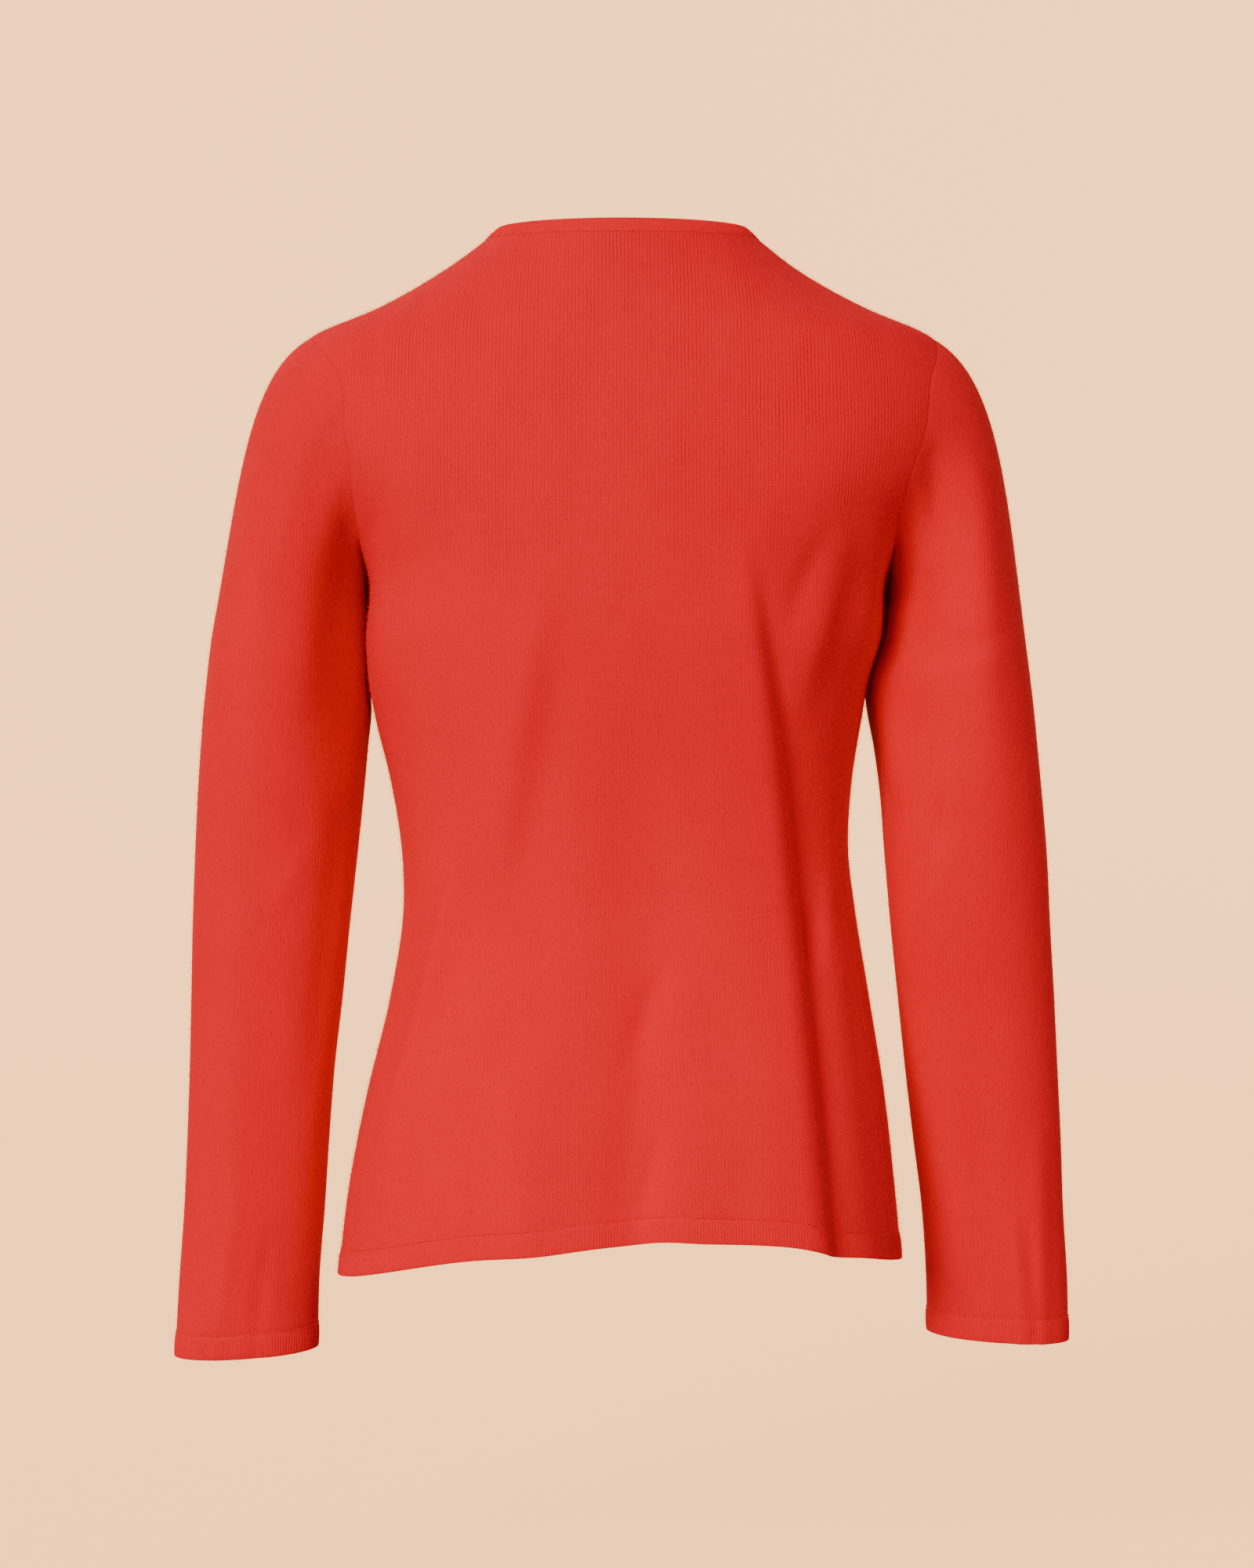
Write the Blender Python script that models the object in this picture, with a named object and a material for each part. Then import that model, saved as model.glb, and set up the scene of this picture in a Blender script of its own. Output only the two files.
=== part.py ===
"""Zip-up V-neck sweater in fine soft knit, filled out as it is when worn, with nobody in it.

The wearer faces -Y and +Z is up. The origin is in the middle of the neck opening, level with its top. Lengths
in the tables are millimetres, and "drop" is the distance down from the origin. Each cloth piece is a wall with
a little seam gap to the next: the body's rings give the back and the two fronts, the bands lie on the same
rings a little further out, and each sleeve grows out of its armhole and follows the hanging arm.
"""

import math
from collections import namedtuple

import bmesh
import bpy
import numpy as np

MM = 0.001
CLOTH = 2.0  # thickness of the knitted wall
BAND_STEP = 1.0  # how far the bands stand proud of the cloth
BAND_HEIGHT = 14.0  # hem and cuff bands
SEAM_GAP = 0.4  # between two sewn pieces
UNDERARM_DROP = 203.0
SHOULDER_DROP = 69.0
SIDE_SEAM_TURN = math.radians(18)  # the side seams swing to the back below the waist

BACK_COLUMNS = 36
FRONT_COLUMNS = 15
SIDE_ROWS = 14
ARMHOLE_ROWS = 12  # along the back or the front half of an armhole
SHOULDER_ROWS = 5
BREAST_ROWS = 2  # up the front edge, from underarm height to the foot of the V
V_ROWS = ARMHOLE_ROWS - BREAST_ROWS

# Rings of the body: half widths at the wearer's left and right, where the widest place lies behind (+) or
# before (-) the origin, and how far the back and the front are from the origin. Between shoulder and underarm
# they are wider than the cloth, which ends at the armholes.
Ring = namedtuple("Ring", "drop left right middle back front squareness")
BODY = [
    Ring(0, 63, 63, 0, 47, 38, 2.0),
    Ring(15, 80, 80, 0, 58, 46, 2.0),
    Ring(33, 105, 103.5, 0, 71, 53, 2.0),
    Ring(55, 144, 143.5, 0, 84, 61, 2.05),
    Ring(69, 177, 176, 0, 89.5, 68, 2.1),
    Ring(81, 188, 187, 0, 93.5, 75.5, 2.15),
    Ring(97, 195, 195, 0, 97.5, 85, 2.2),
    Ring(122, 196, 198, -2, 101.5, 99, 2.3),
    Ring(150, 184, 188, -6, 104.5, 110, 2.38),
    Ring(178, 161, 166, -12, 106, 118.5, 2.48),
    Ring(203, 147, 153, -15, 105, 123, 2.55),
    Ring(244, 147.6, 148.6, -17, 102, 124, 2.5),
    Ring(266, 146.2, 141.8, -17, 99, 121.5, 2.42),
    Ring(285, 142.8, 138.4, -16, 96, 118, 2.35),
    Ring(325, 133, 132, -12, 89, 109, 2.3),
    Ring(366, 126.5, 130, -6, 85, 101, 2.3),
    Ring(393, 125.5, 133, -3, 84, 99, 2.3),
    Ring(447, 133, 141.5, 0, 91, 104, 2.35),
    Ring(501, 146, 150, 0, 101, 111, 2.4),
    Ring(555, 156.5, 156, 0, 109, 117, 2.4),
    Ring(610, 163, 161, 0, 113, 120, 2.4),
]

# The armhole by its clock position in degrees, from the shoulder (0) down to the underarm (180): how far it
# reaches behind the side line on each sleeve, and before it.
Armhole = namedtuple("Armhole", "clock drop left_back right_back left_front right_front")
ARMHOLE = [
    Armhole(0, SHOULDER_DROP, 0, 0, 0, 0),
    Armhole(30, 76, 35, 23, 30, 30),
    Armhole(60, 97, 62, 49, 54, 53),
    Armhole(90, 127, 71, 61, 64, 63),
    Armhole(120, 158, 70, 65, 66, 64),
    Armhole(150, 187, 46, 47, 46, 46),
    Armhole(180, UNDERARM_DROP, 0, 0, 0, 0),
]

# Rings of the sleeves below the cap: outer and inner edge, the middle of the arm before (-) the side line, half
# its depth, how far its inner edge lies ahead, where it is pressed against the body, and how much lower the
# outer back is than the inner front.
Arm = namedtuple("Arm", "drop outer inner middle depth ahead slant")
ARM = {
    "left": [
        Arm(222, 232, 147.8, 1, 52, 38, 0),
        Arm(244, 235.5, 147.4, 4, 49, 40, 0),
        Arm(266, 238, 146.3, 5, 47, 40, 0),
        Arm(285, 240, 146, 5, 45, 38, 0),
        Arm(300, 241.2, 147.2, 4.5, 43.5, 32, 0),
        Arm(325, 243, 148.8, 3, 41, 20, 0),
        Arm(366, 245.5, 152.5, -3, 38, 6, 0),
        Arm(407, 247.5, 157, -9, 35.5, 0, 0),
        Arm(448, 249, 161.5, -16, 33, 0, 0),
        Arm(489, 250.5, 166.5, -22, 31, 0, 0.5),
        Arm(530, 252.5, 170, -28, 29, 0, 1),
        Arm(572, 255, 173, -34, 27, 0, 2),
        Arm(613, 258.5, 176.5, -40, 25, 0, 3),
        Arm(656, 261.5, 178, -46, 23, 0, 4),
    ],
    "right": [
        Arm(222, 228.5, 152.8, 1, 51, 38, 0),
        Arm(244, 231, 149.2, 4, 48, 40, 0),
        Arm(266, 233.8, 141.4, 5, 46.5, 40, 0),
        Arm(285, 236, 142.6, 5, 45, 38, 0),
        Arm(300, 237.5, 145.2, 4.5, 43.5, 32, 0),
        Arm(325, 240, 148.2, 3, 41, 20, 0),
        Arm(366, 244, 151, -3, 38, 6, 0),
        Arm(407, 246.5, 154.5, -9, 35.5, 0, 0),
        Arm(448, 249.5, 159, -16, 33, 0, 0.5),
        Arm(489, 252, 163.5, -22, 31, 0, 1),
        Arm(530, 254.5, 168.5, -28, 29, 0, 1.5),
        Arm(572, 256.5, 174, -34, 27, 0, 2),
        Arm(613, 259.5, 177, -40, 24.5, 0, 3),
        Arm(646.5, 260.5, 178, -45, 23, 0, 4),
    ],
}
CAP_ROWS = 7
ARM_ROWS = 14
CAP_REACH = 40.0  # how far the cap runs on along the shoulder before it turns down
CAP_FALL = 75.0  # how long the arm's line holds above the first arm ring
UNDERARM_REACH = 3.5
UNDERARM_FALL = 9.0
CAP_SLOPE = math.radians(29)

# The largest folds of the body. Places are (distance to the wearer's left, drop); the width is taken on each
# side of the crest, and the foot is the share of the height that is left at the lower end.
Fold = namedtuple("Fold", "face top middle bottom height left_width right_width foot")
FOLDS = [
    Fold("back", (42, 180), (62, 320), (88, 450), 3.5, 22, 14, 0),
    Fold("back", (-10, 240), (-13, 416), (-3, 600), -3.5, 26, 22, 1),
    Fold("back", (-62, 185), (-84, 380), (-101, 605), 5.0, 26, 12, 1),
    Fold("back", (-84, 250), (-104, 420), (-121, 605), -2.5, 9, 14, 0.8),
    Fold("back", (-134, 168), (-112, 230), (-96, 305), 3.5, 12, 10, 0),
    Fold("back", (124, 160), (134, 215), (128, 300), 3.0, 14, 12, 0),
    Fold("back", (90, 335), (112, 430), (146, 560), 2.5, 10, 12, 0),
    Fold("back", (-113, 425), (-124, 500), (-136, 600), 2.5, 11, 11, 0.6),
    Fold("back", (44, 430), (52, 520), (58, 600), 2.5, 20, 18, 1),
    Fold("front", (118, 178), (98, 225), (78, 262), 3.0, 11, 12, 0),
    Fold("front", (-122, 176), (-101, 218), (-84, 250), 3.5, 12, 10, 0),
    Fold("front", (72, 262), (74, 340), (88, 420), 3.0, 18, 16, 0),
    Fold("front", (-66, 258), (-70, 350), (-78, 450), 3.5, 16, 20, 0),
    Fold("front", (56, 400), (62, 500), (68, 605), -3.5, 20, 18, 1),
    Fold("front", (96, 420), (104, 510), (112, 605), 3.5, 16, 18, 1),
    Fold("front", (-54, 420), (-60, 510), (-64, 605), -3.0, 17, 18, 1),
    Fold("front", (-88, 395), (-98, 500), (-108, 605), 4.0, 18, 15, 1),
]

# The largest folds of the sleeves: clock position round the arm (0 outside, 90 behind, 180 inside, 270 before)
# at the upper and lower end, in degrees, as is the width.
ArmFold = namedtuple("ArmFold", "sleeve upper upper_drop lower lower_drop height width")
ARM_FOLDS = [
    ArmFold("left", 118, 150, 100, 290, 2.5, 15),
    ArmFold("left", 148, 250, 132, 520, -2.0, 16),
    ArmFold("left", 285, 300, 235, 350, 2.5, 20),
    ArmFold("left", 240, 350, 300, 395, 2.5, 18),
    ArmFold("left", 60, 400, 84, 640, 2.0, 16),
    ArmFold("right", 100, 105, 112, 200, -2.5, 12),
    ArmFold("right", 66, 130, 74, 330, 2.0, 15),
    ArmFold("right", 60, 236, 110, 262, -1.5, 20),
    ArmFold("right", 240, 310, 292, 355, 2.5, 20),
    ArmFold("right", 295, 350, 238, 392, 2.5, 18),
    ArmFold("right", 50, 520, 62, 650, 2.0, 12),
    ArmFold("right", 92, 430, 104, 640, -1.8, 15),
]

# Hem: the lowest edge at the sides, and how much higher it is in the middle of the back and of the front.
HEM_DROP = 600.5
HEM_LEFT_EXTRA = 4.5
HEM_BACK_RISE = 21.0
HEM_FRONT_RISE = 10.0
HEM_BACK_LEAN = 5.0  # the left half of the back hangs lower than the right one
# Where folds pull the hem of the back down or up: distance to the wearer's left, how much lower, how wide.
HemWave = namedtuple("HemWave", "place lower width")
HEM_WAVES = [HemWave(48, 2.6, 30), HemWave(-22, -1.6, 18), HemWave(-120, 2.6, 18)]
HEM_FADE_DROP = 330.0  # above this the rows of the panels are level
HEM_FULL_DROP = 575.0  # below this they follow the hem

# Neck: the sewn edge and the free edge of its band, as (distance from the middle, drop) at the zip, at the
# bend of the V and at the side of the neck.
NECK_SEWN = [(5, 155), (33, 118), (78, 13.5)]
NECK_FREE = [(5, 141), (25, 112), (71.5, 7)]
NECK_BACK_SEWN_DROP = 15.0

# Zip: the fronts stop short of the middle and show the chain; the tapes lie behind them.
FRONT_EDGE = 5.0
TAPE_INNER, TAPE_OUTER = 0.6, 15.0
TAPE_DEPTH, TAPE_THICKNESS = 2.5, 1.0
TAPE_TOP_DROP, TAPE_BOTTOM_DROP = 142.0, 588.0
CHAIN_DEPTH = TAPE_DEPTH + TAPE_THICKNESS / 2
SLIDER_DROP = 146.0
SLIDER_OUTLINE = [(-3.3, -6), (3.3, -6), (4.5, 0.5), (4.5, 4), (3, 6), (-3, 6), (-4.5, 4), (-4.5, 0.5)]
SLIDER_SLOT = 1.3  # half the height of the way for the chain
PLATE = 1.1
POST_FOOT, POST_TOP = 4.4, 6.0
BRIDGE_HALF_WIDTH = 0.9
BRIDGE_HALF_LENGTH, BRIDGE_HEIGHT, BRIDGE_BAR = 3.6, 3.3, 1.2
PULL_BAR_RADIUS = 0.65
PULL_HALF_WIDTH, PULL_ARM_INNER = 2.9, 1.35
PULL_LENGTH, PULL_SLOT_END = 29.0, 6.8
PULL_AXIS = (-3.5, -1.3)  # (y, z) of the pull's bar in the slider's own frame
BOX_HALF_WIDTH, BOX_BOTTOM_DROP, BOX_HEIGHT = 4.3, 590.5, 9.0

RED = (0.62, 0.045, 0.03, 1)
TAPE_RED = (0.36, 0.02, 0.018, 1)
STEEL = (0.62, 0.62, 0.64, 1)


def ease(value):
    """0 below 0, 1 above 1 and a smooth step between."""
    value = min(max(value, 0.0), 1.0)
    return value * value * (3 - 2 * value)


def read(table, column, place):
    """One column of a table between its rows, on a smooth curve through them."""
    places = np.array([row[0] for row in table], float)
    values = np.array([getattr(row, column) for row in table], float)
    slopes = np.gradient(values, places)
    i = int(np.clip(np.searchsorted(places, place) - 1, 0, len(places) - 2))
    step = places[i + 1] - places[i]
    t = (place - places[i]) / step
    return (
        (1 + 2 * t) * (1 - t) ** 2 * values[i]
        + t * (1 - t) ** 2 * step * slopes[i]
        + t * t * (3 - 2 * t) * values[i + 1]
        + t * t * (t - 1) * step * slopes[i + 1]
    )


def unit(vector):
    return vector / np.linalg.norm(vector)


def depth_from_middle(face, drop):
    """How far the back (face above 0) or the front is from the widest place of its ring."""
    if face > 0:
        return read(BODY, "back", drop) - read(BODY, "middle", drop)
    return read(BODY, "front", drop) + read(BODY, "middle", drop)


# The body's surface. Its angle is 0 at the wearer's left, 90 degrees in the middle of the back.
def body_point(angle, drop):
    power = 2 / read(BODY, "squareness", drop)
    across, along = math.cos(angle), math.sin(angle)
    width = read(BODY, "left" if across > 0 else "right", drop)
    x = width * math.copysign(abs(across) ** power, across)
    y = depth_from_middle(along, drop) * math.copysign(abs(along) ** power, along)
    return np.array([x, read(BODY, "middle", drop) + y, -drop])


def body_normal(angle, drop):
    turn, rise = 0.04, 3.0
    round_body = body_point(angle + turn, drop) - body_point(angle - turn, drop)
    up_body = body_point(angle, drop - rise) - body_point(angle, drop + rise)
    return unit(np.cross(round_body, up_body))


def body_angle(side, face, from_side):
    """Angle of a place that lies from_side away from the side line (side 1 is left, face 1 is back)."""
    return face * from_side if side > 0 else math.pi - face * from_side


def angle_at_x(x, drop):
    """Angle of the front's surface at a distance x from the middle."""
    side = 1 if x > 0 else -1
    width = read(BODY, "left" if x > 0 else "right", drop)
    share = min(abs(x) / width, 1.0) ** (read(BODY, "squareness", drop) / 2)
    return body_angle(side, -1, math.acos(share))


def angle_at_depth(side, face, depth, drop):
    """Angle of the surface at a distance behind (face 1) or before (face -1) the side line."""
    share = min(max(depth / depth_from_middle(face, drop), 0.0), 1.0) ** (read(BODY, "squareness", drop) / 2)
    return body_angle(side, face, math.asin(share))


def fold_height(face, x, drop):
    """How far all the folds of one face lift the cloth at a place."""
    total = 0.0
    for fold in FOLDS:
        start, end = fold.top[1], fold.bottom[1]
        t = (drop - start) / (end - start)
        if fold.face != face or t < 0:
            continue
        t = min(t, 1.0)
        bend = fold.middle[0] - (fold.top[0] + fold.bottom[0]) / 2
        crest = fold.top[0] + (fold.bottom[0] - fold.top[0]) * t + 4 * bend * t * (1 - t)
        off = x - crest
        width = fold.left_width if off > 0 else fold.right_width
        strength = ease(t / 0.4) * (1 - (1 - fold.foot) * ease((t - 0.55) / 0.45))
        total += fold.height * strength * math.exp(-((off / width) ** 2))
    return total


def cloth_point(angle, drop):
    """A point of the body's cloth: its ring, lifted by the folds, which die out at the zip and the armholes."""
    point = body_point(angle, drop)
    face = "back" if math.sin(angle) > 0 else "front"
    calm = ease((drop - 90) / 60) * ease((abs(math.sin(angle)) - 0.12) / 0.3)
    if face == "front":
        calm *= ease((abs(point[0]) - FRONT_EDGE) / 30)
    return point + body_normal(angle, drop) * fold_height(face, point[0], drop) * calm


def hem_drop(angle):
    across, along = math.cos(angle), math.sin(angle)
    rise = HEM_BACK_RISE if along > 0 else HEM_FRONT_RISE
    drop = HEM_DROP + HEM_LEFT_EXTRA * across - rise * along**2
    if along > 0:
        x = body_point(angle, HEM_DROP)[0]
        drop += HEM_BACK_LEAN * across * along**2
        drop += sum(wave.lower * math.exp(-(((x - wave.place) / wave.width) ** 2)) for wave in HEM_WAVES)
    return drop


def seam_from_side(drop):
    return SIDE_SEAM_TURN * ease((drop - UNDERARM_DROP - 20) / 200)


def armhole_place(side, face, clock):
    """(angle, drop) of the armhole's seam."""
    drop = read(ARMHOLE, "drop", clock)
    column = ("left" if side > 0 else "right") + ("_back" if face > 0 else "_front")
    depth = max(read(ARMHOLE, column, clock), 0.0)
    return angle_at_depth(side, face, depth, drop), drop


def curve(points, t):
    """Point of the bent line from the first to the last of three points, drawn towards the second."""
    a, b, c = (np.array(p, float) for p in points)
    return a * (1 - t) ** 2 + 2 * b * t * (1 - t) + c * t * t


def neck_places(points, side, count):
    """Even steps along one leg of the V, from the zip to the side of the neck, as (angle, drop)."""
    fine = []
    for t in np.linspace(0, 1, 120):
        x, drop = curve(points, t)
        fine.append((angle_at_x(side * x, drop), drop))
    ends = np.array([body_point(*place) for place in fine])
    length = np.concatenate([[0], np.cumsum(np.linalg.norm(np.diff(ends, axis=0), axis=1))])
    wanted = np.linspace(0, length[-1], count + 1)
    return [tuple(np.interp(w, length, column) for column in zip(*fine)) for w in wanted]


def panel(left_edge, right_edge, columns):
    """Rows of (angle, drop) between two edges; the hem's curve dies out upwards."""
    rows = []
    for (a, drop_a), (b, drop_b) in zip(left_edge, right_edge):
        row = []
        for t in np.linspace(0, 1, columns + 1):
            angle = a + (b - a) * t
            drop = drop_a + (drop_b - drop_a) * t
            ends = hem_drop(a) + (hem_drop(b) - hem_drop(a)) * t
            fade = ease((drop - HEM_FADE_DROP) / (HEM_FULL_DROP - HEM_FADE_DROP))
            row.append((angle, drop + (hem_drop(angle) - ends) * fade))
        rows.append(row)
    return rows


def side_edge(side):
    """The side seam, from the hem band up to the underarm."""
    bottom = hem_drop(body_angle(side, 1, SIDE_SEAM_TURN)) - BAND_HEIGHT
    drops = np.linspace(bottom, UNDERARM_DROP, SIDE_ROWS + 1)
    return [(body_angle(side, 1, seam_from_side(drop)), drop) for drop in drops]


def armhole_edge(side, face):
    """One half of the armhole, from just above the underarm to the shoulder."""
    clocks = np.linspace(180, 0, ARMHOLE_ROWS + 1)[1:]
    return [armhole_place(side, face, clock) for clock in clocks]


def lie(rows):
    return np.array([[cloth_point(*place) for place in row] for row in rows])


def normals(rows):
    return np.array([[body_normal(*place) for place in row] for row in rows])


def towards(line, next_line, distance):
    step = next_line - line
    return step / np.linalg.norm(step, axis=1)[:, None] * distance


def draw_in(points):
    """The same grid with its four edges drawn in by half a seam gap."""
    drawn = points.copy()
    for edge, inner in ((0, 1), (-1, -2)):
        drawn[edge] += towards(points[edge], points[inner], SEAM_GAP / 2)
        drawn[:, edge] += towards(points[:, edge], points[:, inner], SEAM_GAP / 2)
    return drawn


def material(name, colour, roughness, metallic=0.0):
    made = bpy.data.materials.new(name)
    made.use_nodes = True
    shader = made.node_tree.nodes["Principled BSDF"]
    shader.inputs["Base Color"].default_value = colour
    shader.inputs["Roughness"].default_value = roughness
    shader.inputs["Metallic"].default_value = metallic
    made.diffuse_color = colour
    return made


def add_object(name, bm, made):
    bmesh.ops.recalc_face_normals(bm, faces=bm.faces)
    mesh = bpy.data.meshes.new(name)
    bm.to_mesh(mesh)
    bm.free()
    mesh.materials.append(made)
    mesh.shade_smooth()
    mesh.set_sharp_from_angle(angle=math.radians(40))
    thing = bpy.data.objects.new(name, mesh)
    bpy.context.scene.collection.objects.link(thing)
    return thing


def wall(name, outer, inner, made, closed=False):
    """A cloth wall between two equal grids of points, open like a panel or closed round like a sleeve."""
    bm = bmesh.new()
    faces = [[[bm.verts.new(point * MM) for point in row] for row in grid] for grid in (outer, inner)]
    rows, columns = len(outer), len(outer[0])
    steps = [(i, (i + 1) % columns) for i in range(columns if closed else columns - 1)]
    for grid in faces:
        for low, high in zip(grid, grid[1:]):
            for i, j in steps:
                bm.faces.new((low[i], low[j], high[j], high[i]))
    out, inn = faces
    for row in (0, rows - 1):
        for i, j in steps:
            bm.faces.new((out[row][i], out[row][j], inn[row][j], inn[row][i]))
    for column in () if closed else (0, columns - 1):
        for row in range(rows - 1):
            k = row + 1
            bm.faces.new((out[row][column], out[k][column], inn[k][column], inn[row][column]))
    return add_object(name, bm, made)


def lay_cloth(name, rows, made, step=0.0, depth=CLOTH, direction=None):
    """A panel or band on the body's surface, from step outside it to depth inside it."""
    points = draw_in(lie(rows))
    outward = normals(rows) if direction is None else direction
    return wall(name, points + outward * step, points - outward * depth, made)


# Sleeves.
def arm_point(sleeve, clock, drop):
    table = ARM[sleeve]
    outer, inner = read(table, "outer", drop), read(table, "inner", drop)
    angle = math.radians(clock)
    x = (outer + inner) / 2 + (outer - inner) / 2 * math.copysign(abs(math.cos(angle)) ** 0.92, math.cos(angle))
    inwards = ((1 - math.cos(angle)) / 2) ** 3
    y = read(table, "middle", drop) + read(table, "depth", drop) * math.sin(angle)
    y -= read(table, "ahead", drop) * inwards
    slant = read(table, "slant", drop) * (math.cos(angle) + math.sin(angle)) * 0.7
    return np.array([x if sleeve == "left" else -x, y, -drop - slant])


def cap_start(side, clock):
    """The way in which the sleeve's cloth leaves the armhole."""
    angle = math.radians(clock)
    flat, steep = math.cos(CAP_SLOPE), math.sin(CAP_SLOPE)
    return unit(np.array([side * flat, -steep * math.sin(angle), -steep * math.cos(angle)]))


def seam_point(side, clock):
    """The armhole's seam at a clock position all round (180 to 360 is the front half)."""
    face, half = (1, clock) if clock <= 180 else (-1, 360 - clock)
    place = armhole_place(side, face, half)
    return cloth_point(*place), body_normal(*place)


def seam_normal(side, clock):
    """Halfway between the outward directions of the body and of the sleeve at the armhole."""
    before, after = (seam_point(side, (clock + turn) % 360)[0] for turn in (-4, 4))
    sleeve = unit(np.cross(after - before, cap_start(side, clock))) * -side
    body = seam_point(side, clock)[1]
    if np.dot(sleeve, body) < -0.2:
        sleeve = -sleeve
    return unit(sleeve + body)


def arm_fold_height(sleeve, clock, drop):
    total = 0.0
    for fold in ARM_FOLDS:
        t = (drop - fold.upper_drop) / (fold.lower_drop - fold.upper_drop)
        if fold.sleeve != sleeve or not 0 < t < 1:
            continue
        off = clock - (fold.upper + (fold.lower - fold.upper) * t)
        total += fold.height * math.sin(math.pi * t) ** 0.7 * math.exp(-((off / fold.width) ** 2))
    return total


def sleeve_rows(sleeve):
    """Outer points of one sleeve, ring by ring from the armhole to the cuff band."""
    side = 1 if sleeve == "left" else -1
    clocks = np.linspace(0, 360, 2 * ARMHOLE_ROWS, endpoint=False)
    first, last = ARM[sleeve][0].drop, ARM[sleeve][-1].drop - BAND_HEIGHT
    rows = []
    for t in np.linspace(0, 1, CAP_ROWS + 1):
        row = []
        for clock in clocks:
            high = (1 + math.cos(math.radians(clock))) / 2
            start = seam_point(side, clock)[0] + cap_start(side, clock) * SEAM_GAP
            end = arm_point(sleeve, clock, first)
            fall = unit(arm_point(sleeve, clock, first + 8) - end)
            out = start + cap_start(side, clock) * (UNDERARM_REACH + (CAP_REACH - UNDERARM_REACH) * high)
            down = end - fall * (UNDERARM_FALL + (CAP_FALL - UNDERARM_FALL) * high)
            s = 1 - t
            row.append(s**3 * start + 3 * s * s * t * out + 3 * s * t * t * down + t**3 * end)
        rows.append(row)
    for drop in np.linspace(first, last, ARM_ROWS + 1)[1:]:
        rows.append([arm_point(sleeve, clock, drop) for clock in clocks])
    return np.array(rows), clocks


def round_normals(rows, side):
    """Outward directions of a closed tube of rings."""
    around = np.roll(rows, -1, axis=1) - np.roll(rows, 1, axis=1)
    down = np.gradient(rows, axis=0)
    outward = np.cross(down, around) * side
    return outward / np.linalg.norm(outward, axis=2)[:, :, None]


def make_sleeve(sleeve, made):
    side = 1 if sleeve == "left" else -1
    rows, clocks = sleeve_rows(sleeve)
    outward = round_normals(rows, side)
    outward[0] = [seam_normal(side, clock) for clock in clocks]
    for i, row in enumerate(rows):
        for j, clock in enumerate(clocks):
            row[j] += outward[i][j] * arm_fold_height(sleeve, clock, -row[j][2]) * ease(i / CAP_ROWS * 1.5)
    wall(f"sleeve_{sleeve}", rows, rows - outward * CLOTH, made, closed=True)

    last = ARM[sleeve][-1].drop
    drops = np.linspace(last - BAND_HEIGHT + SEAM_GAP, last, 3)
    cuff = np.array([[arm_point(sleeve, clock, drop) for clock in clocks] for drop in drops])
    for row in cuff:
        for j, clock in enumerate(clocks):
            row[j] += outward[-1][j] * arm_fold_height(sleeve, clock, last - BAND_HEIGHT)
    outward = round_normals(cuff, side)
    wall(f"cuff_band_{sleeve}", cuff + outward * BAND_STEP, cuff - outward * CLOTH, made, closed=True)


# Body.
def armhole_directions(rows, side, face, column):
    """The outward directions of a panel, with the seam's own along its armhole."""
    outward = normals(rows)
    clocks = np.linspace(180, 0, ARMHOLE_ROWS + 1)
    for k, clock in enumerate(clocks):
        outward[SIDE_ROWS + k][column] = seam_normal(side, clock if face > 0 else (360 - clock) % 360)
    return outward


def make_back(made):
    shoulder = np.linspace(SHOULDER_DROP, NECK_SEWN[-1][1], SHOULDER_ROWS + 1)[1:]
    edges = []
    for side in (1, -1):
        ridge = [(body_angle(side, 1, 0), drop) for drop in shoulder]
        edges.append(side_edge(side) + armhole_edge(side, 1) + ridge)
    rows = panel(edges[0], edges[1], BACK_COLUMNS)
    for k, row in enumerate(rows):
        lift = (NECK_BACK_SEWN_DROP - NECK_SEWN[-1][1]) * ease((k - len(rows) + 4) / 3)
        rows[k] = [(angle, drop + lift * math.sin(angle) ** 2) for angle, drop in row]
    outward = armhole_directions(rows, 1, 1, 0)
    other = armhole_directions(rows, -1, 1, -1)
    outward[:, -1] = other[:, -1]
    lay_cloth("back_panel", rows, made, direction=outward)


def front_edge_drops():
    """The rows of the fronts along the zip, from the hem band up to the foot of the V."""
    bottom = hem_drop(-math.pi / 2) - BAND_HEIGHT
    breast = np.linspace(UNDERARM_DROP, NECK_SEWN[0][1], BREAST_ROWS + 1)[1:]
    return [*np.linspace(bottom, UNDERARM_DROP, SIDE_ROWS + 1), *breast]


def make_front(sleeve, made):
    side = 1 if sleeve == "left" else -1
    outer_edge = side_edge(side) + armhole_edge(side, -1)
    x = side * FRONT_EDGE
    middle_edge = [(angle_at_x(x, drop), drop) for drop in front_edge_drops()]
    middle_edge += neck_places(NECK_SEWN, side, V_ROWS)[1:]
    rows = panel(outer_edge, middle_edge, FRONT_COLUMNS)
    lay_cloth(f"front_panel_{sleeve}", rows, made, direction=armhole_directions(rows, side, -1, 0))


def make_hem(made):
    spans = {
        "back": (body_angle(1, 1, SIDE_SEAM_TURN), body_angle(-1, 1, SIDE_SEAM_TURN), BACK_COLUMNS),
        "front_left": (body_angle(1, 1, SIDE_SEAM_TURN), angle_at_x(FRONT_EDGE, HEM_DROP), FRONT_COLUMNS),
        "front_right": (body_angle(-1, 1, SIDE_SEAM_TURN), angle_at_x(-FRONT_EDGE, HEM_DROP), FRONT_COLUMNS),
    }
    for name, (start, end, columns) in spans.items():
        angles = np.linspace(start, end, columns + 1)
        rows = [[(a, hem_drop(a) - up) for a in angles] for up in (0, BAND_HEIGHT / 2, BAND_HEIGHT)]
        lay_cloth(f"hem_band_{name}", rows, made, step=BAND_STEP)


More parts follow.
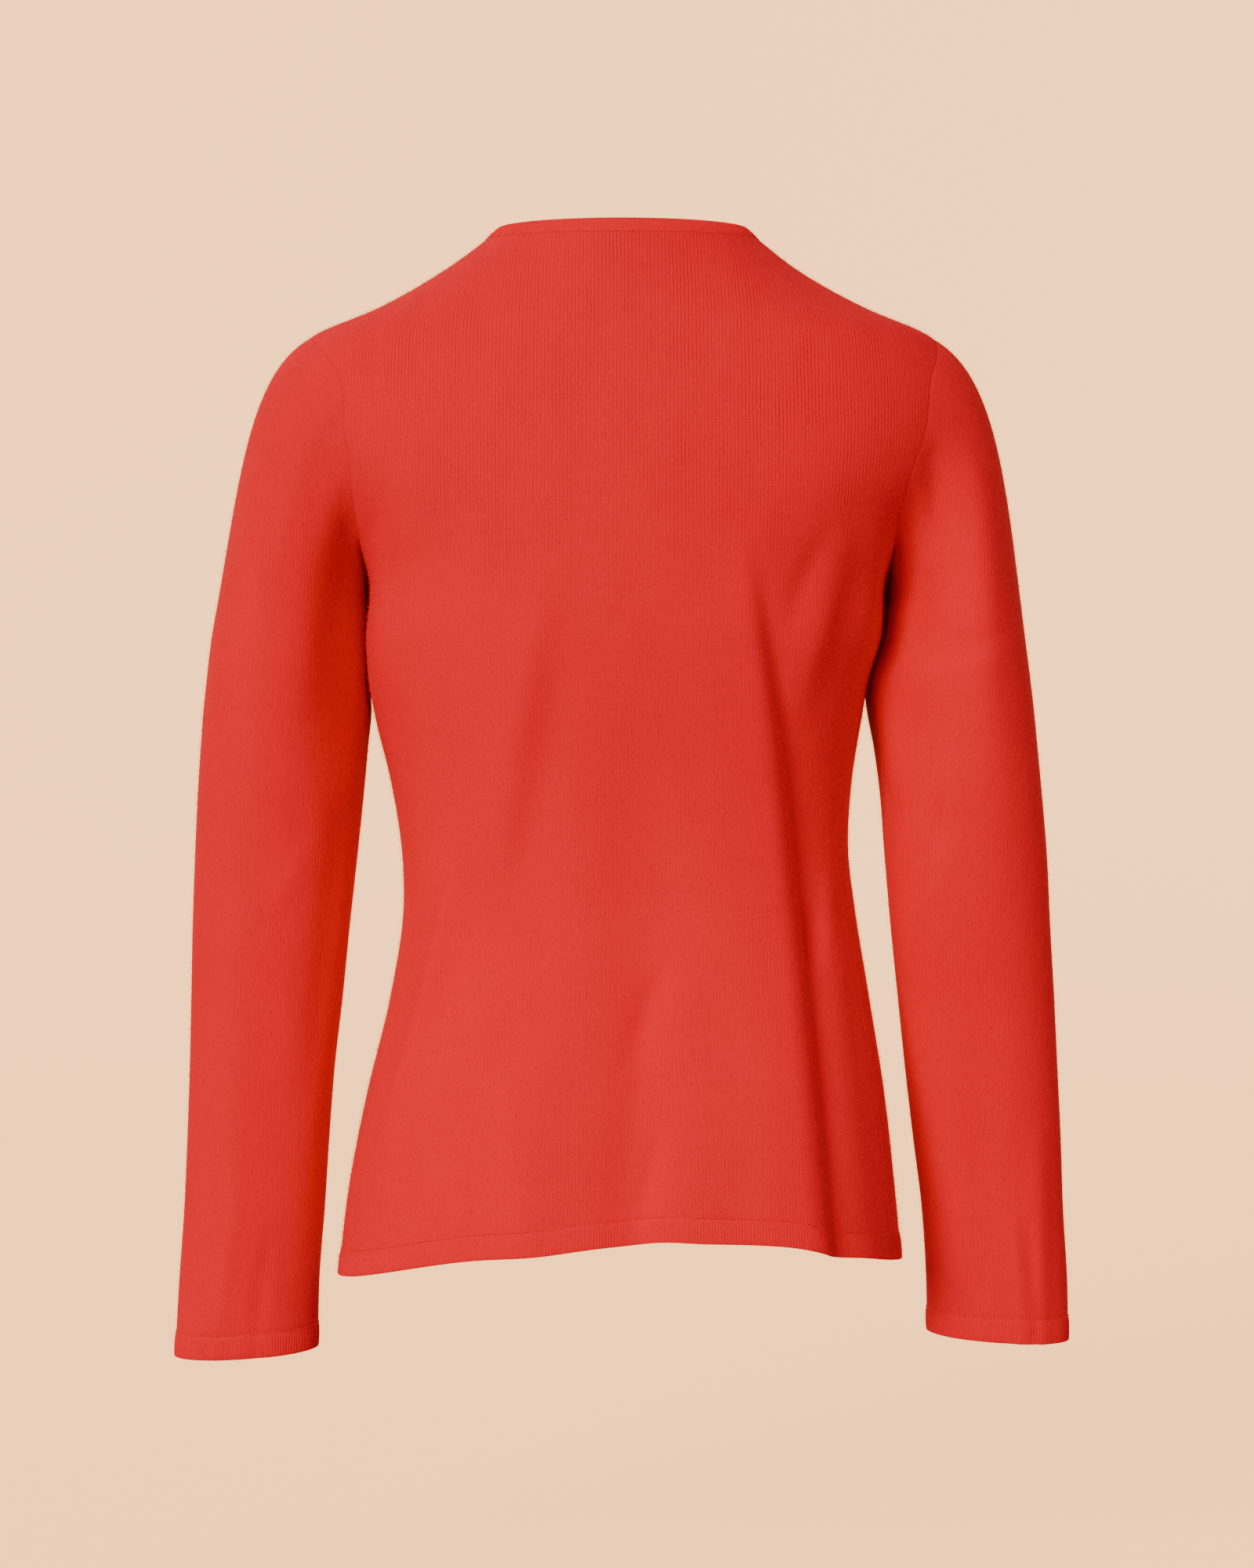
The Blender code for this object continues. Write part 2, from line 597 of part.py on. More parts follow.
def make_neckband(made):
    turns = np.linspace(0, math.pi, BACK_COLUMNS + 1)[1:-1]
    strips = []
    for points, back_drop in ((NECK_SEWN, NECK_BACK_SEWN_DROP), (NECK_FREE, NECK_FREE[-1][1])):
        leg = neck_places(points, 1, V_ROWS)
        other = neck_places(points, -1, V_ROWS)
        side_drop = points[-1][1]
        back = [(a, side_drop + (back_drop - side_drop) * math.sin(a) ** 2) for a in turns]
        strips.append(np.array(leg + back + other[::-1]))
    sewn, free = strips
    rows = [[tuple(place) for place in sewn + (free - sewn) * t] for t in (0, 0.5, 1)]
    lay_cloth("neckband", rows, made, step=BAND_STEP)


# Zip.
def make_tapes(made):
    drops = [TAPE_BOTTOM_DROP, *front_edge_drops(), TAPE_TOP_DROP]
    for name, side in (("left", 1), ("right", -1)):
        rows = [[(angle_at_x(side * x, drop), drop) for x in (TAPE_INNER, FRONT_EDGE, TAPE_OUTER)] for drop in drops]
        points, outward = lie(rows), normals(rows)
        depth = TAPE_DEPTH + TAPE_THICKNESS
        wall(f"zip_tape_{name}", points - outward * TAPE_DEPTH, points - outward * depth, made)


def prism(outline, start, end, axis):
    """A closed mesh of a flat outline pushed out along one axis, from start to end."""
    bm = bmesh.new()
    ends = []
    for place in (start, end):
        corners = [np.insert(np.array(point, float), axis, place) * MM for point in outline]
        ends.append([bm.verts.new(corner) for corner in corners])
    bm.faces.new(ends[0])
    bm.faces.new(ends[1])
    for i in range(len(outline)):
        j = (i + 1) % len(outline)
        bm.faces.new((ends[0][i], ends[0][j], ends[1][j], ends[1][i]))
    return bm


def frame_at(drop, depth):
    """Place and tilt of the zip's middle line at a drop, as deep as the chain lies."""
    angle = -math.pi / 2
    point, outward = body_point(angle, drop), body_normal(angle, drop)
    return (point - outward * depth) * MM, -math.atan2(outward[2], -outward[1])


def fuse(base, bodies):
    """Joins hidden helper bodies to the base."""
    for body in bodies:
        body.hide_render = True
        body.display_type = "WIRE"
        body.parent = base
        union = base.modifiers.new(body.name, "BOOLEAN")
        union.operation = "UNION"
        union.object = body


def clamp(name, outline, web, drop, made):
    """Two plates, before and behind the tapes, with a web between them at one end."""
    reach = SLIDER_SLOT + PLATE
    base = add_object(name, prism(outline, -reach, -SLIDER_SLOT, 1), made)
    rear = add_object(name + "_rear", prism(outline, SLIDER_SLOT, reach, 1), made)
    middle = add_object(name + "_web", prism(web, -reach + 0.2, reach - 0.2, 1), made)
    fuse(base, [middle, rear])
    base.location, base.rotation_euler.x = frame_at(drop, CHAIN_DEPTH)
    return base


def make_slider(made):
    web = [(-1.4, POST_FOOT), (1.4, POST_FOOT), (2.2, POST_TOP - 0.3), (-2.2, POST_TOP - 0.3)]
    slider = clamp("zip_slider", SLIDER_OUTLINE, web, SLIDER_DROP, made)
    face = -(SLIDER_SLOT + PLATE)
    top, length, inner = face - BRIDGE_HEIGHT, BRIDGE_HALF_LENGTH, BRIDGE_HALF_LENGTH - BRIDGE_BAR
    arch = [(face + 0.2, -length), (top + 0.8, -length), (top, -length + 1), (top, length - 1), (top + 0.8, length)]
    arch += [(face + 0.2, length), (face + 0.2, inner), (top + BRIDGE_BAR, inner), (top + BRIDGE_BAR, -inner)]
    arch += [(face + 0.2, -inner)]
    bridge = add_object("zip_slider_bridge", prism(arch, -BRIDGE_HALF_WIDTH, BRIDGE_HALF_WIDTH, 0), made)
    fuse(slider, [bridge])
    return slider


def make_pull(slider, made):
    """The pull tab hangs from its bar, which lies under the slider's bridge."""
    outer, inner, thick = PULL_HALF_WIDTH, PULL_ARM_INNER, PULL_BAR_RADIUS
    bottom = -PULL_LENGTH
    outline = [(-outer, 0), (-outer, bottom + 2), (-outer + 2, bottom), (outer - 2, bottom), (outer, bottom + 2)]
    outline += [(outer, 0), (inner, 0), (inner, -PULL_SLOT_END), (-inner, -PULL_SLOT_END), (-inner, 0)]
    pull = add_object("zip_pull_tab", prism(outline, -thick, thick, 1), made)
    sides = 12
    circle = [(math.cos(a) * thick, math.sin(a) * thick) for a in np.linspace(0, 2 * math.pi, sides + 1)[:-1]]
    bar = add_object("zip_pull_tab_bar", prism(circle, -outer, outer, 0), made)
    fuse(pull, [bar])
    pull.parent = slider
    pull.location = (0, PULL_AXIS[0] * MM, PULL_AXIS[1] * MM)
    return pull


def make_box(made):
    """The box at the zip's foot, round the ends of both tapes."""
    half, height = BOX_HALF_WIDTH, BOX_HEIGHT
    outline = [(-half, 0), (half, 0), (half, height - 1), (half - 1, height), (1 - half, height), (-half, height - 1)]
    web = [(-half + 0.2, 0.2), (half - 0.2, 0.2), (half - 0.2, 1.8), (-half + 0.2, 1.8)]
    clamp("zip_box", outline, web, BOX_BOTTOM_DROP, made)


def main():
    for thing in list(bpy.data.objects):
        bpy.data.objects.remove(thing)
    knit = material("red_knit", RED, 0.9)
    rib = material("red_rib", RED, 0.9)
    tape = material("red_tape", TAPE_RED, 0.8)
    steel = material("bright_metal", STEEL, 0.3, 1.0)
    make_back(knit)
    for sleeve in ("left", "right"):
        make_front(sleeve, knit)
        make_sleeve(sleeve, knit)
    make_hem(rib)
    make_neckband(rib)
    make_tapes(tape)
    slider = make_slider(steel)
    make_pull(slider, steel)
    make_box(steel)


main()
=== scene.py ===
import math
from collections import namedtuple

import bmesh
import bpy
import numpy as np
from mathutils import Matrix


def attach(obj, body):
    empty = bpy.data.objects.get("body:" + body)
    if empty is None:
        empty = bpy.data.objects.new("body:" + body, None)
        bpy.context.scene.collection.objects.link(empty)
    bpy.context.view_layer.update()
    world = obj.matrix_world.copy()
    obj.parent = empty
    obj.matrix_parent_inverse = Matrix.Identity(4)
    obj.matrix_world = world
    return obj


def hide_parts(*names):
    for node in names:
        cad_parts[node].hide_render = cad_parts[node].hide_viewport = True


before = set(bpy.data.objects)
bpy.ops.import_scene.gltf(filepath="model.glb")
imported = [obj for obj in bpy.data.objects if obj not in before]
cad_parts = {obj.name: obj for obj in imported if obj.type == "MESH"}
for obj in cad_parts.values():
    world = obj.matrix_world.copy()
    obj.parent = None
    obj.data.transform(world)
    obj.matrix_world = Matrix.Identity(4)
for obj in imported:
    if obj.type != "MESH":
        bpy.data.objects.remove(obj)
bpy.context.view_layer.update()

# --- Back and fronts ------------------------------------------------
# The back and the two fronts are knitted in fine, softly brushed wool and sewn together at the shoulders
# and sides. Worn, they lie on one rounded form, given ring by ring in millimetres: "drop" is the distance
# down from the top of the neck, and the angle is 0 at the wearer's left and 90 degrees behind.
MM = 0.001
CLOTH = 1.9
UNDERARM_DROP = 203.0
SHOULDER_DROP = 69.0
BAND_HEIGHT = 14.0
SIDE_SEAM_TURN = math.radians(18)
SIDE_SEAM_START, SIDE_SEAM_LENGTH = 20, 200  # below the underarm, where the seam turns backwards
SIDES = (("left", 1), ("right", -1))

Ring = namedtuple("Ring", "drop left right middle back front squareness")
BODY = [Ring(*row) for row in (
    (0, 63, 63, 0, 47, 38, 2.0),
    (15, 80, 80, 0, 58, 46, 2.0),
    (33, 105, 103.5, 0, 71, 53, 2.0),
    (55, 144, 143.5, 0, 84, 61, 2.05),
    (69, 177, 176, 0, 89.5, 68, 2.1),
    (81, 188, 187, 0, 93.5, 75.5, 2.15),
    (97, 195, 195, 0, 97.5, 85, 2.2),
    (122, 196, 198, -2, 101.5, 99, 2.3),
    (150, 184, 188, -6, 104.5, 110, 2.38),
    (178, 161, 166, -12, 106, 118.5, 2.48),
    (203, 147, 153, -15, 105, 123, 2.55),
    (244, 147.6, 148.6, -17, 102, 124, 2.5),
    (266, 146.2, 141.8, -17, 99, 121.5, 2.42),
    (285, 142.8, 138.4, -16, 96, 118, 2.35),
    (325, 133, 132, -12, 89, 109, 2.3),
    (366, 126.5, 130, -6, 85, 101, 2.3),
    (393, 125.5, 133, -3, 84, 99, 2.3),
    (447, 133, 141.5, 0, 91, 104, 2.35),
    (501, 146, 150, 0, 101, 111, 2.4),
    (555, 156.5, 156, 0, 109, 117, 2.4),
    (610, 163, 161, 0, 113, 120, 2.4),
)]

Armhole = namedtuple("Armhole", "clock drop left_back right_back left_front right_front")
ARMHOLE = [Armhole(*row) for row in (
    (0, SHOULDER_DROP, 0, 0, 0, 0),
    (30, 76, 35, 23, 30, 30),
    (60, 97, 62, 49, 54, 53),
    (90, 127, 71, 61, 64, 63),
    (120, 158, 70, 65, 66, 64),
    (150, 187, 46, 47, 46, 46),
    (180, UNDERARM_DROP, 0, 0, 0, 0),
)]
CAP_SLOPE = math.radians(29)  # how much the sleeve's cloth turns away from straight out at the armhole

# Folds, with the finer creases after them: places are (distance to the wearer's left, drop), the width is
# taken on each side of the crest, and the foot is the share of the height that is left at the lower end.
Fold = namedtuple("Fold", "top middle bottom height left_width right_width foot", defaults=[0])
FOLDS = {
    "back": [Fold(*row) for row in (
        ((42, 180), (62, 320), (88, 450), 3.5, 22, 14),
        ((-10, 240), (-13, 416), (-3, 600), -3.5, 26, 22, 1),
        ((-62, 185), (-84, 380), (-101, 605), 5.0, 26, 12, 1),
        ((-84, 250), (-104, 420), (-121, 605), -2.5, 9, 14, 0.8),
        ((-134, 168), (-112, 230), (-96, 305), 3.5, 12, 10),
        ((124, 160), (134, 215), (128, 300), 3.0, 14, 12),
        ((90, 335), (112, 430), (146, 560), 2.5, 10, 12),
        ((-113, 425), (-124, 500), (-136, 600), 2.5, 11, 11, 0.6),
        ((44, 430), (52, 520), (58, 600), 2.5, 20, 18, 1),
        ((-66, 178), (-74, 236), (-88, 330), 2.0, 12, 6),
        ((-76, 182), (-84, 240), (-98, 335), -1.8, 6, 9),
        ((-70, 205), (-94, 400), (-112, 590), 2.8, 10, 5, 0.9),
        ((-80, 200), (-106, 400), (-123, 590), -3.4, 6, 16, 0.9),
        ((-122, 172), (-101, 215), (-90, 255), -1.3, 7, 6),
        ((-129, 175), (-120, 235), (-107, 300), -1.6, 8, 9),
        ((-142, 155), (-140, 210), (-133, 270), 3.2, 8, 8),
        ((-107, 388), (-109, 412), (-109, 436), -2.6, 6, 6),
        ((-115, 362), (-118, 400), (-119, 430), 1.2, 4, 5),
        ((-112, 425), (-125, 500), (-138, 600), -3.0, 12, 12, 0.8),
        ((-127, 375), (-137, 470), (-150, 585), -1.8, 8, 9, 0.6),
        ((-14, 400), (-10, 500), (-3, 600), -2.6, 13, 12, 1),
        ((-26, 415), (-13, 452), (-1, 490), -1.8, 6, 9),
        ((-21, 505), (-16, 538), (-12, 570), -2.0, 4, 6),
        ((43, 185), (57, 300), (84, 440), 1.6, 14, 11),
        ((33, 195), (46, 310), (73, 440), -1.0, 12, 14),
        ((90, 338), (110, 415), (147, 552), 1.9, 4, 5),
        ((82, 350), (101, 425), (135, 552), -1.1, 6, 7),
        ((68, 470), (60, 520), (50, 590), 1.2, 9, 10, 0.6),
        ((138, 168), (146, 195), (150, 215), -1.3, 7, 9),
        ((112, 235), (120, 290), (120, 335), -1.6, 9, 8),
    )],
    "front": [Fold(*row) for row in (
        ((118, 178), (98, 225), (78, 262), 3.0, 11, 12),
        ((-122, 176), (-101, 218), (-84, 250), 3.5, 12, 10),
        ((72, 262), (74, 340), (88, 420), 3.0, 18, 16),
        ((-66, 258), (-70, 350), (-78, 450), 3.5, 16, 20),
        ((56, 400), (62, 500), (68, 605), -3.5, 20, 18, 1),
        ((96, 420), (104, 510), (112, 605), 3.5, 16, 18, 1),
        ((-54, 420), (-60, 510), (-64, 605), -3.0, 17, 18, 1),
        ((-88, 395), (-98, 500), (-108, 605), 4.0, 18, 15, 1),
        ((104, 190), (90, 228), (66, 250), -1.5, 7, 8),
        ((-108, 188), (-90, 224), (-70, 244), -1.5, 7, 8),
        ((40, 440), (42, 500), (46, 560), 1.2, 9, 8),
        ((-38, 380), (-42, 440), (-44, 500), 1.1, 8, 8),
        ((120, 380), (128, 410), (124, 450), -1.5, 8, 8),
        ((-118, 380), (-126, 415), (-120, 455), -1.5, 8, 8),
        ((88, 280), (100, 350), (112, 400), -1.2, 6, 8),
        ((-80, 275), (-92, 340), (-104, 392), -1.2, 8, 6),
    )],
}

FOLD_RISE, FOLD_FADE_START, FOLD_FADE = 0.4, 0.55, 0.45  # shares of a fold's length
YOKE_DROP, YOKE_FADE = 90, 60  # there are none above this drop, and all of their height this much lower
SEAM_CALM, SEAM_FADE = 0.12, 0.3  # they fade towards the side seams (sines of the angle)
ZIP_FADE = 30  # and towards the zip

HEM_DROP = 600.5
HEM_LEFT_EXTRA = 4.5
HEM_BACK_RISE = 21.0
HEM_FRONT_RISE = 10.0
HEM_BACK_LEAN = 5.0
HemWave = namedtuple("HemWave", "place lower width")
HEM_WAVES = [HemWave(48, 2.6, 30), HemWave(-22, -1.6, 18), HemWave(-120, 2.6, 18)]
HEM_FADE_DROP = 330.0
HEM_FULL_DROP = 575.0

NECK_SEWN = [(5, 155), (33, 118), (78, 13.5)]
NECK_BACK_SEWN_DROP = 15.0
NECK_LIFT_REACH = 33.3
RIDGE_PULL = 6  # the higher, the closer to its end each leg of the V turns to the shoulder's ridge
FRONT_EDGE = 5.0

BACK_COLUMNS = 144
FRONT_COLUMNS = 60
SIDE_ROWS = 110
ARMHOLE_ROWS = 48
SHOULDER_ROWS = 20
BREAST_ROWS = 8
V_ROWS = ARMHOLE_ROWS - BREAST_ROWS


def ease(value):
    value = np.clip(value, 0.0, 1.0)
    return value * value * (3 - 2 * value)


def unit(vectors):
    return vectors / np.linalg.norm(vectors, axis=-1, keepdims=True)


def read(table, column, place):
    """One column of a table between its rows, on a smooth curve through them."""
    places = np.array([row[0] for row in table], float)
    values = np.array([getattr(row, column) for row in table], float)
    slopes = np.gradient(values, places)
    i = np.clip(np.searchsorted(places, place) - 1, 0, len(places) - 2)
    step = places[i + 1] - places[i]
    t = (place - places[i]) / step
    start = (1 + 2 * t) * (1 - t) ** 2 * values[i] + t * (1 - t) ** 2 * step * slopes[i]
    return start + t * t * (3 - 2 * t) * values[i + 1] + t * t * (t - 1) * step * slopes[i + 1]


def depth_from_middle(face, drop):
    """How far the back (face above 0) or the front is from the widest place of its ring."""
    middle = read(BODY, "middle", drop)
    return np.where(face > 0, read(BODY, "back", drop) - middle, read(BODY, "front", drop) + middle)


def body_point(angle, drop):
    power = 2 / read(BODY, "squareness", drop)
    across, along = np.cos(angle), np.sin(angle)
    width = np.where(across > 0, read(BODY, "left", drop), read(BODY, "right", drop))
    x = width * np.copysign(np.abs(across) ** power, across)
    y = depth_from_middle(along, drop) * np.copysign(np.abs(along) ** power, along)
    return np.stack(np.broadcast_arrays(x, read(BODY, "middle", drop) + y, -drop), axis=-1)


def body_normal(angle, drop):
    turn, rise = 0.04, 3.0
    round_body = body_point(angle + turn, drop) - body_point(angle - turn, drop)
    up_body = body_point(angle, drop - rise) - body_point(angle, drop + rise)
    return unit(np.cross(round_body, up_body))


def body_angle(side, face, from_side):
    return face * from_side if side > 0 else math.pi - face * from_side


def angle_at_x(x, drop):
    """Angle of the front at a distance x from the middle."""
    width = np.where(np.asarray(x) > 0, read(BODY, "left", drop), read(BODY, "right", drop))
    share = np.minimum(np.abs(x) / width, 1.0) ** (read(BODY, "squareness", drop) / 2)
    return np.where(np.asarray(x) > 0, -np.arccos(share), math.pi + np.arccos(share))


def fold_height(face, x, drop):
    total = np.zeros(np.broadcast(x, drop).shape)
    for fold in FOLDS[face]:
        start, end = fold.top[1], fold.bottom[1]
        t = np.clip((drop - start) / (end - start), 0, 1)
        bend = fold.middle[0] - (fold.top[0] + fold.bottom[0]) / 2
        crest = fold.top[0] + (fold.bottom[0] - fold.top[0]) * t + 4 * bend * t * (1 - t)
        width = np.where(x > crest, fold.left_width, fold.right_width)
        fade = ease((t - FOLD_FADE_START) / FOLD_FADE)
        strength = ease(t / FOLD_RISE) * (1 - (1 - fold.foot) * fade)
        total += fold.height * strength * np.exp(-(((x - crest) / width) ** 2))
    return total


def cloth_point(angle, drop):
    """The cloth's outer face: the body's ring, lifted by the folds, which die out at the zip and seams."""
    point = body_point(angle, drop)
    x = point[..., 0]
    back = fold_height("back", x, drop)
    front = fold_height("front", x, drop) * ease((np.abs(x) - FRONT_EDGE) / ZIP_FADE)
    from_seams = ease((np.abs(np.sin(angle)) - SEAM_CALM) / SEAM_FADE)
    calm = ease((drop - YOKE_DROP) / YOKE_FADE) * from_seams
    lift = np.where(np.sin(angle) > 0, back, front) * calm
    return point + body_normal(angle, drop) * lift[..., None]


def hem_drop(angle):
    across, along = np.cos(angle), np.sin(angle)
    x = body_point(angle, HEM_DROP)[..., 0]
    waves = sum(wave.lower * np.exp(-(((x - wave.place) / wave.width) ** 2)) for wave in HEM_WAVES)
    behind = np.where(along > 0, HEM_BACK_LEAN * across * along**2 + waves, 0)
    rise = np.where(along > 0, HEM_BACK_RISE, HEM_FRONT_RISE)
    return HEM_DROP + HEM_LEFT_EXTRA * across - rise * along**2 + behind


def armhole_place(side, face, clock):
    """(angle, drop) of the armhole's seam by its clock position: the shoulder is 0, the underarm 180."""
    drop = read(ARMHOLE, "drop", clock)
    column = ("left" if side > 0 else "right") + ("_back" if face > 0 else "_front")
    depth = np.maximum(read(ARMHOLE, column, clock), 0.0)
    share = np.clip(depth / depth_from_middle(face, drop), 0, 1) ** (read(BODY, "squareness", drop) / 2)
    return body_angle(side, face, np.arcsin(share)), drop


def length_along(points):
    steps = np.linalg.norm(np.diff(points, axis=0), axis=-1)
    return np.concatenate([np.zeros_like(steps[:1]), np.cumsum(steps, axis=0)])


def even_places(angle, drop, count):
    """Even steps along a line on the body, as (angle, drop)."""
    length = length_along(body_point(angle, drop))
    wanted = np.linspace(0, length[-1], count + 1)
    return np.stack([np.interp(wanted, length, angle), np.interp(wanted, length, drop)], axis=-1)


def neck_line(points, side):
    """One leg of the V as fine steps of (angle, drop), from the zip to the shoulder seam beside the neck."""
    a, b, c = (np.array(point, float) for point in points)
    t = np.linspace(0, 1, 200)[:, None]
    x, drop = (a * (1 - t) ** 2 + 2 * b * t * (1 - t) + c * t * t).T
    angle = angle_at_x(side * x, drop)
    return angle + (body_angle(side, -1, 0) - angle[-1]) * t[:, 0] ** RIDGE_PULL, drop


def side_edge(side):
    bottom = hem_drop(body_angle(side, 1, SIDE_SEAM_TURN)) - BAND_HEIGHT
    drop = np.linspace(bottom, UNDERARM_DROP, SIDE_ROWS + 1)
    turn = SIDE_SEAM_TURN * ease((drop - UNDERARM_DROP - SIDE_SEAM_START) / SIDE_SEAM_LENGTH)
    return np.stack([body_angle(side, 1, turn), drop], axis=-1)


def armhole_edge(side, face):
    clock = np.linspace(180, 0, ARMHOLE_ROWS + 1)[1:]
    return np.stack(armhole_place(side, face, clock), axis=-1)


def panel(left_edge, right_edge, columns):
    """Angles and drops of a panel's grid between two edges; the hem's curve dies out upwards."""
    t = np.linspace(0, 1, columns + 1)
    angle = left_edge[:, :1] * (1 - t) + right_edge[:, :1] * t
    drop = left_edge[:, 1:] * (1 - t) + right_edge[:, 1:] * t
    ends = hem_drop(left_edge[:, :1]) * (1 - t) + hem_drop(right_edge[:, :1]) * t
    fade = ease((drop - HEM_FADE_DROP) / (HEM_FULL_DROP - HEM_FADE_DROP))
    return angle, drop + (hem_drop(angle) - ends) * fade


def cloth_uv(points, middle_column):
    """Widths from the middle column and lengths up from the first row, in metres, as the cloth lies flat."""
    across = length_along(points.transpose(1, 0, 2)).T
    across = across - across[:, middle_column][:, None]
    return np.stack([across, length_along(points)], axis=-1) * MM


def panel_uv(points, start_column):
    """The same for a panel of the body, where the wales run straight down and the courses level."""
    across = length_along(points.transpose(1, 0, 2)).T
    from_middle = np.sign(points[0, -1, 0] - points[0, 0, 0]) * points[:, [start_column], 0]
    return np.stack([across - across[:, [start_column]] + from_middle, points[..., 2]], axis=-1) * MM


def quads(rows, columns):
    index = np.arange(rows * columns).reshape(rows, columns)
    corners = (index[:-1, :-1], index[:-1, 1:], index[1:, 1:], index[1:, :-1])
    return index, np.stack(corners, axis=-1).reshape(-1, 4)


def put_in_scene(name, data):
    """A new object in the scene."""
    made = bpy.data.objects.new(name, data)
    bpy.context.scene.collection.objects.link(made)
    return made


def smooth_mesh(name, bm, sharp=None):
    """The mesh that a bmesh holds, shaded smooth but for edges over the angle "sharp" in degrees."""
    mesh = bpy.data.meshes.new(name)
    bm.to_mesh(mesh)
    bm.free()
    mesh.shade_smooth()
    if sharp is not None:
        mesh.set_sharp_from_angle(angle=math.radians(sharp))
    return mesh


def mesh_object(name, vertices, faces, uv):
    mesh = bpy.data.meshes.new(name)
    mesh.from_pydata([tuple(v) for v in vertices * MM], [], [tuple(f) for f in faces.tolist()])
    layer = mesh.uv_layers.new(name="cloth")
    corner = np.empty(len(mesh.loops), dtype=np.int32)
    mesh.loops.foreach_get("vertex_index", corner)
    layer.data.foreach_set("uv", uv[corner].astype(np.float32).ravel())
    mesh.shade_smooth()
    return put_in_scene(name, mesh)


def outward_order(points, outward, faces):
    """The faces, turned so that they look along the given outward directions."""
    flat = points.reshape(-1, 3)
    a, b, c = (flat[faces[:, i]] for i in range(3))
    looks_out = np.sum(np.cross(b - a, c - a) * outward.reshape(-1, 3)[faces[:, 0]]) > 0
    return faces if looks_out else faces[:, ::-1]


def wall(name, points, outward, uv, thickness=CLOTH, rounding=0.3):
    """A piece of cloth: the grid's outer face, the same inside it and a rounded rim."""
    rows, columns = points.shape[:2]
    index, faces = quads(rows, columns)
    faces = outward_order(points, outward, faces)
    count = rows * columns
    rim = np.concatenate([index[0, :-1], index[:-1, -1], index[-1, :0:-1], index[:0:-1, 0]])
    rim_faces = np.stack([rim, np.roll(rim, -1), np.roll(rim, -1) + count, rim + count], axis=-1)
    forward = {(int(f[i]), int(f[(i + 1) % 4])) for f in faces[:: max(len(faces) - 1, 1)] for i in range(4)}
    if (int(rim[0]), int(rim[1])) in forward:
        rim_faces = rim_faces[:, ::-1]
    inner = points - outward * thickness
    vertices = np.concatenate([points.reshape(-1, 3), inner.reshape(-1, 3)])
    all_faces = np.concatenate([faces, faces[:, ::-1] + count, rim_faces])
    uv = uv.reshape(-1, 2)
    made = mesh_object(name, vertices, all_faces, np.concatenate([uv, uv]))
    bevel = made.modifiers.new("rounded_rim", "BEVEL")
    bevel.width = rounding * MM
    bevel.segments = 2
    bevel.limit_method = "ANGLE"
    bevel.angle_limit = math.radians(50)
    return made


class Wire:
    """A value in a material that can be added, multiplied and so on; each sum adds its own node."""

    def __init__(self, finish, socket):
        self.finish, self.socket = finish, socket

    def maths(self, operation, first, second=0.0):
        return self.finish.node("ShaderNodeMath", {"operation": operation}, {0: first, 1: second})

    def __add__(self, other):
        return self.maths("ADD", self, other)

    def __sub__(self, other):
        return self.maths("SUBTRACT", self, other)

    def __rsub__(self, other):
        return self.maths("SUBTRACT", other, self)

    def __mul__(self, other):
        return self.maths("MULTIPLY", self, other)

    def __truediv__(self, other):
        return self.maths("DIVIDE", self, other)

    def __pow__(self, other):
        return self.maths("POWER", self, other)

    def __abs__(self):
        return self.maths("ABSOLUTE", self)

    def cosine(self):
        return self.maths("COSINE", self)

    def part(self):
        """What is left of it over a whole number."""
        return self.maths("FRACT", self)

    def step(self, low, high):
        """0 below low, 1 above high and a smooth step between."""
        settings = {"interpolation_type": "SMOOTHSTEP"}
        return self.finish.node("ShaderNodeMapRange", settings, {0: self, 1: low, 2: high, 3: 0.0, 4: 1.0})

    __radd__ = __add__
    __rmul__ = __mul__


class Nodes:
    """A tree that is made node by node."""

    def join(self, value, socket):
        if isinstance(value, Wire):
            self.tree.links.new(value.socket, socket)
        else:
            socket.default_value = value

    def node(self, kind, settings=None, sockets=None, output=0):
        made = self.tree.nodes.new(kind)
        for key, value in (settings or {}).items():
            setattr(made, key, value)
        for key, value in (sockets or {}).items():
            self.join(value, made.inputs[key])
        return Wire(self, made.outputs[output])


class Finish(Nodes):
    """One material."""

    def __init__(self, name):
        self.material = bpy.data.materials.new(name)
        self.material.use_nodes = True
        self.tree = self.material.node_tree
        self.shader = self.tree.nodes["Principled BSDF"]

    def set(self, **sockets):
        for key, value in sockets.items():
            self.join(value, self.shader.inputs[key.replace("_", " ")])

    def cloth_place(self):
        return self.node("ShaderNodeUVMap", {"uv_map": "cloth"})

    def solid_place(self):
        return self.node("ShaderNodeTexCoord", None, None, output=3)

    def parts(self, vector):
        return [self.node("ShaderNodeSeparateXYZ", None, {0: vector}, output=i) for i in range(3)]

    def stretched(self, vector, factors):
        return self.node("ShaderNodeVectorMath", {"operation": "MULTIPLY"}, {0: vector, 1: factors})

    def noise(self, vector, size, detail=2.0, roughness=0.5):
        sockets = {"Vector": vector, "Scale": 1 / size, "Detail": detail, "Roughness": roughness}
        return self.node("ShaderNodeTexNoise", None, sockets)

    def mix(self, factor, first, second):
        return self.node("ShaderNodeMix", {"data_type": "RGBA"}, {0: factor, 6: first, 7: second}, output=2)

    def bump(self, height, distance, strength=1.0):
        sockets = {"Height": height, "Distance": distance, "Strength": strength}
        return self.node("ShaderNodeBump", None, sockets)


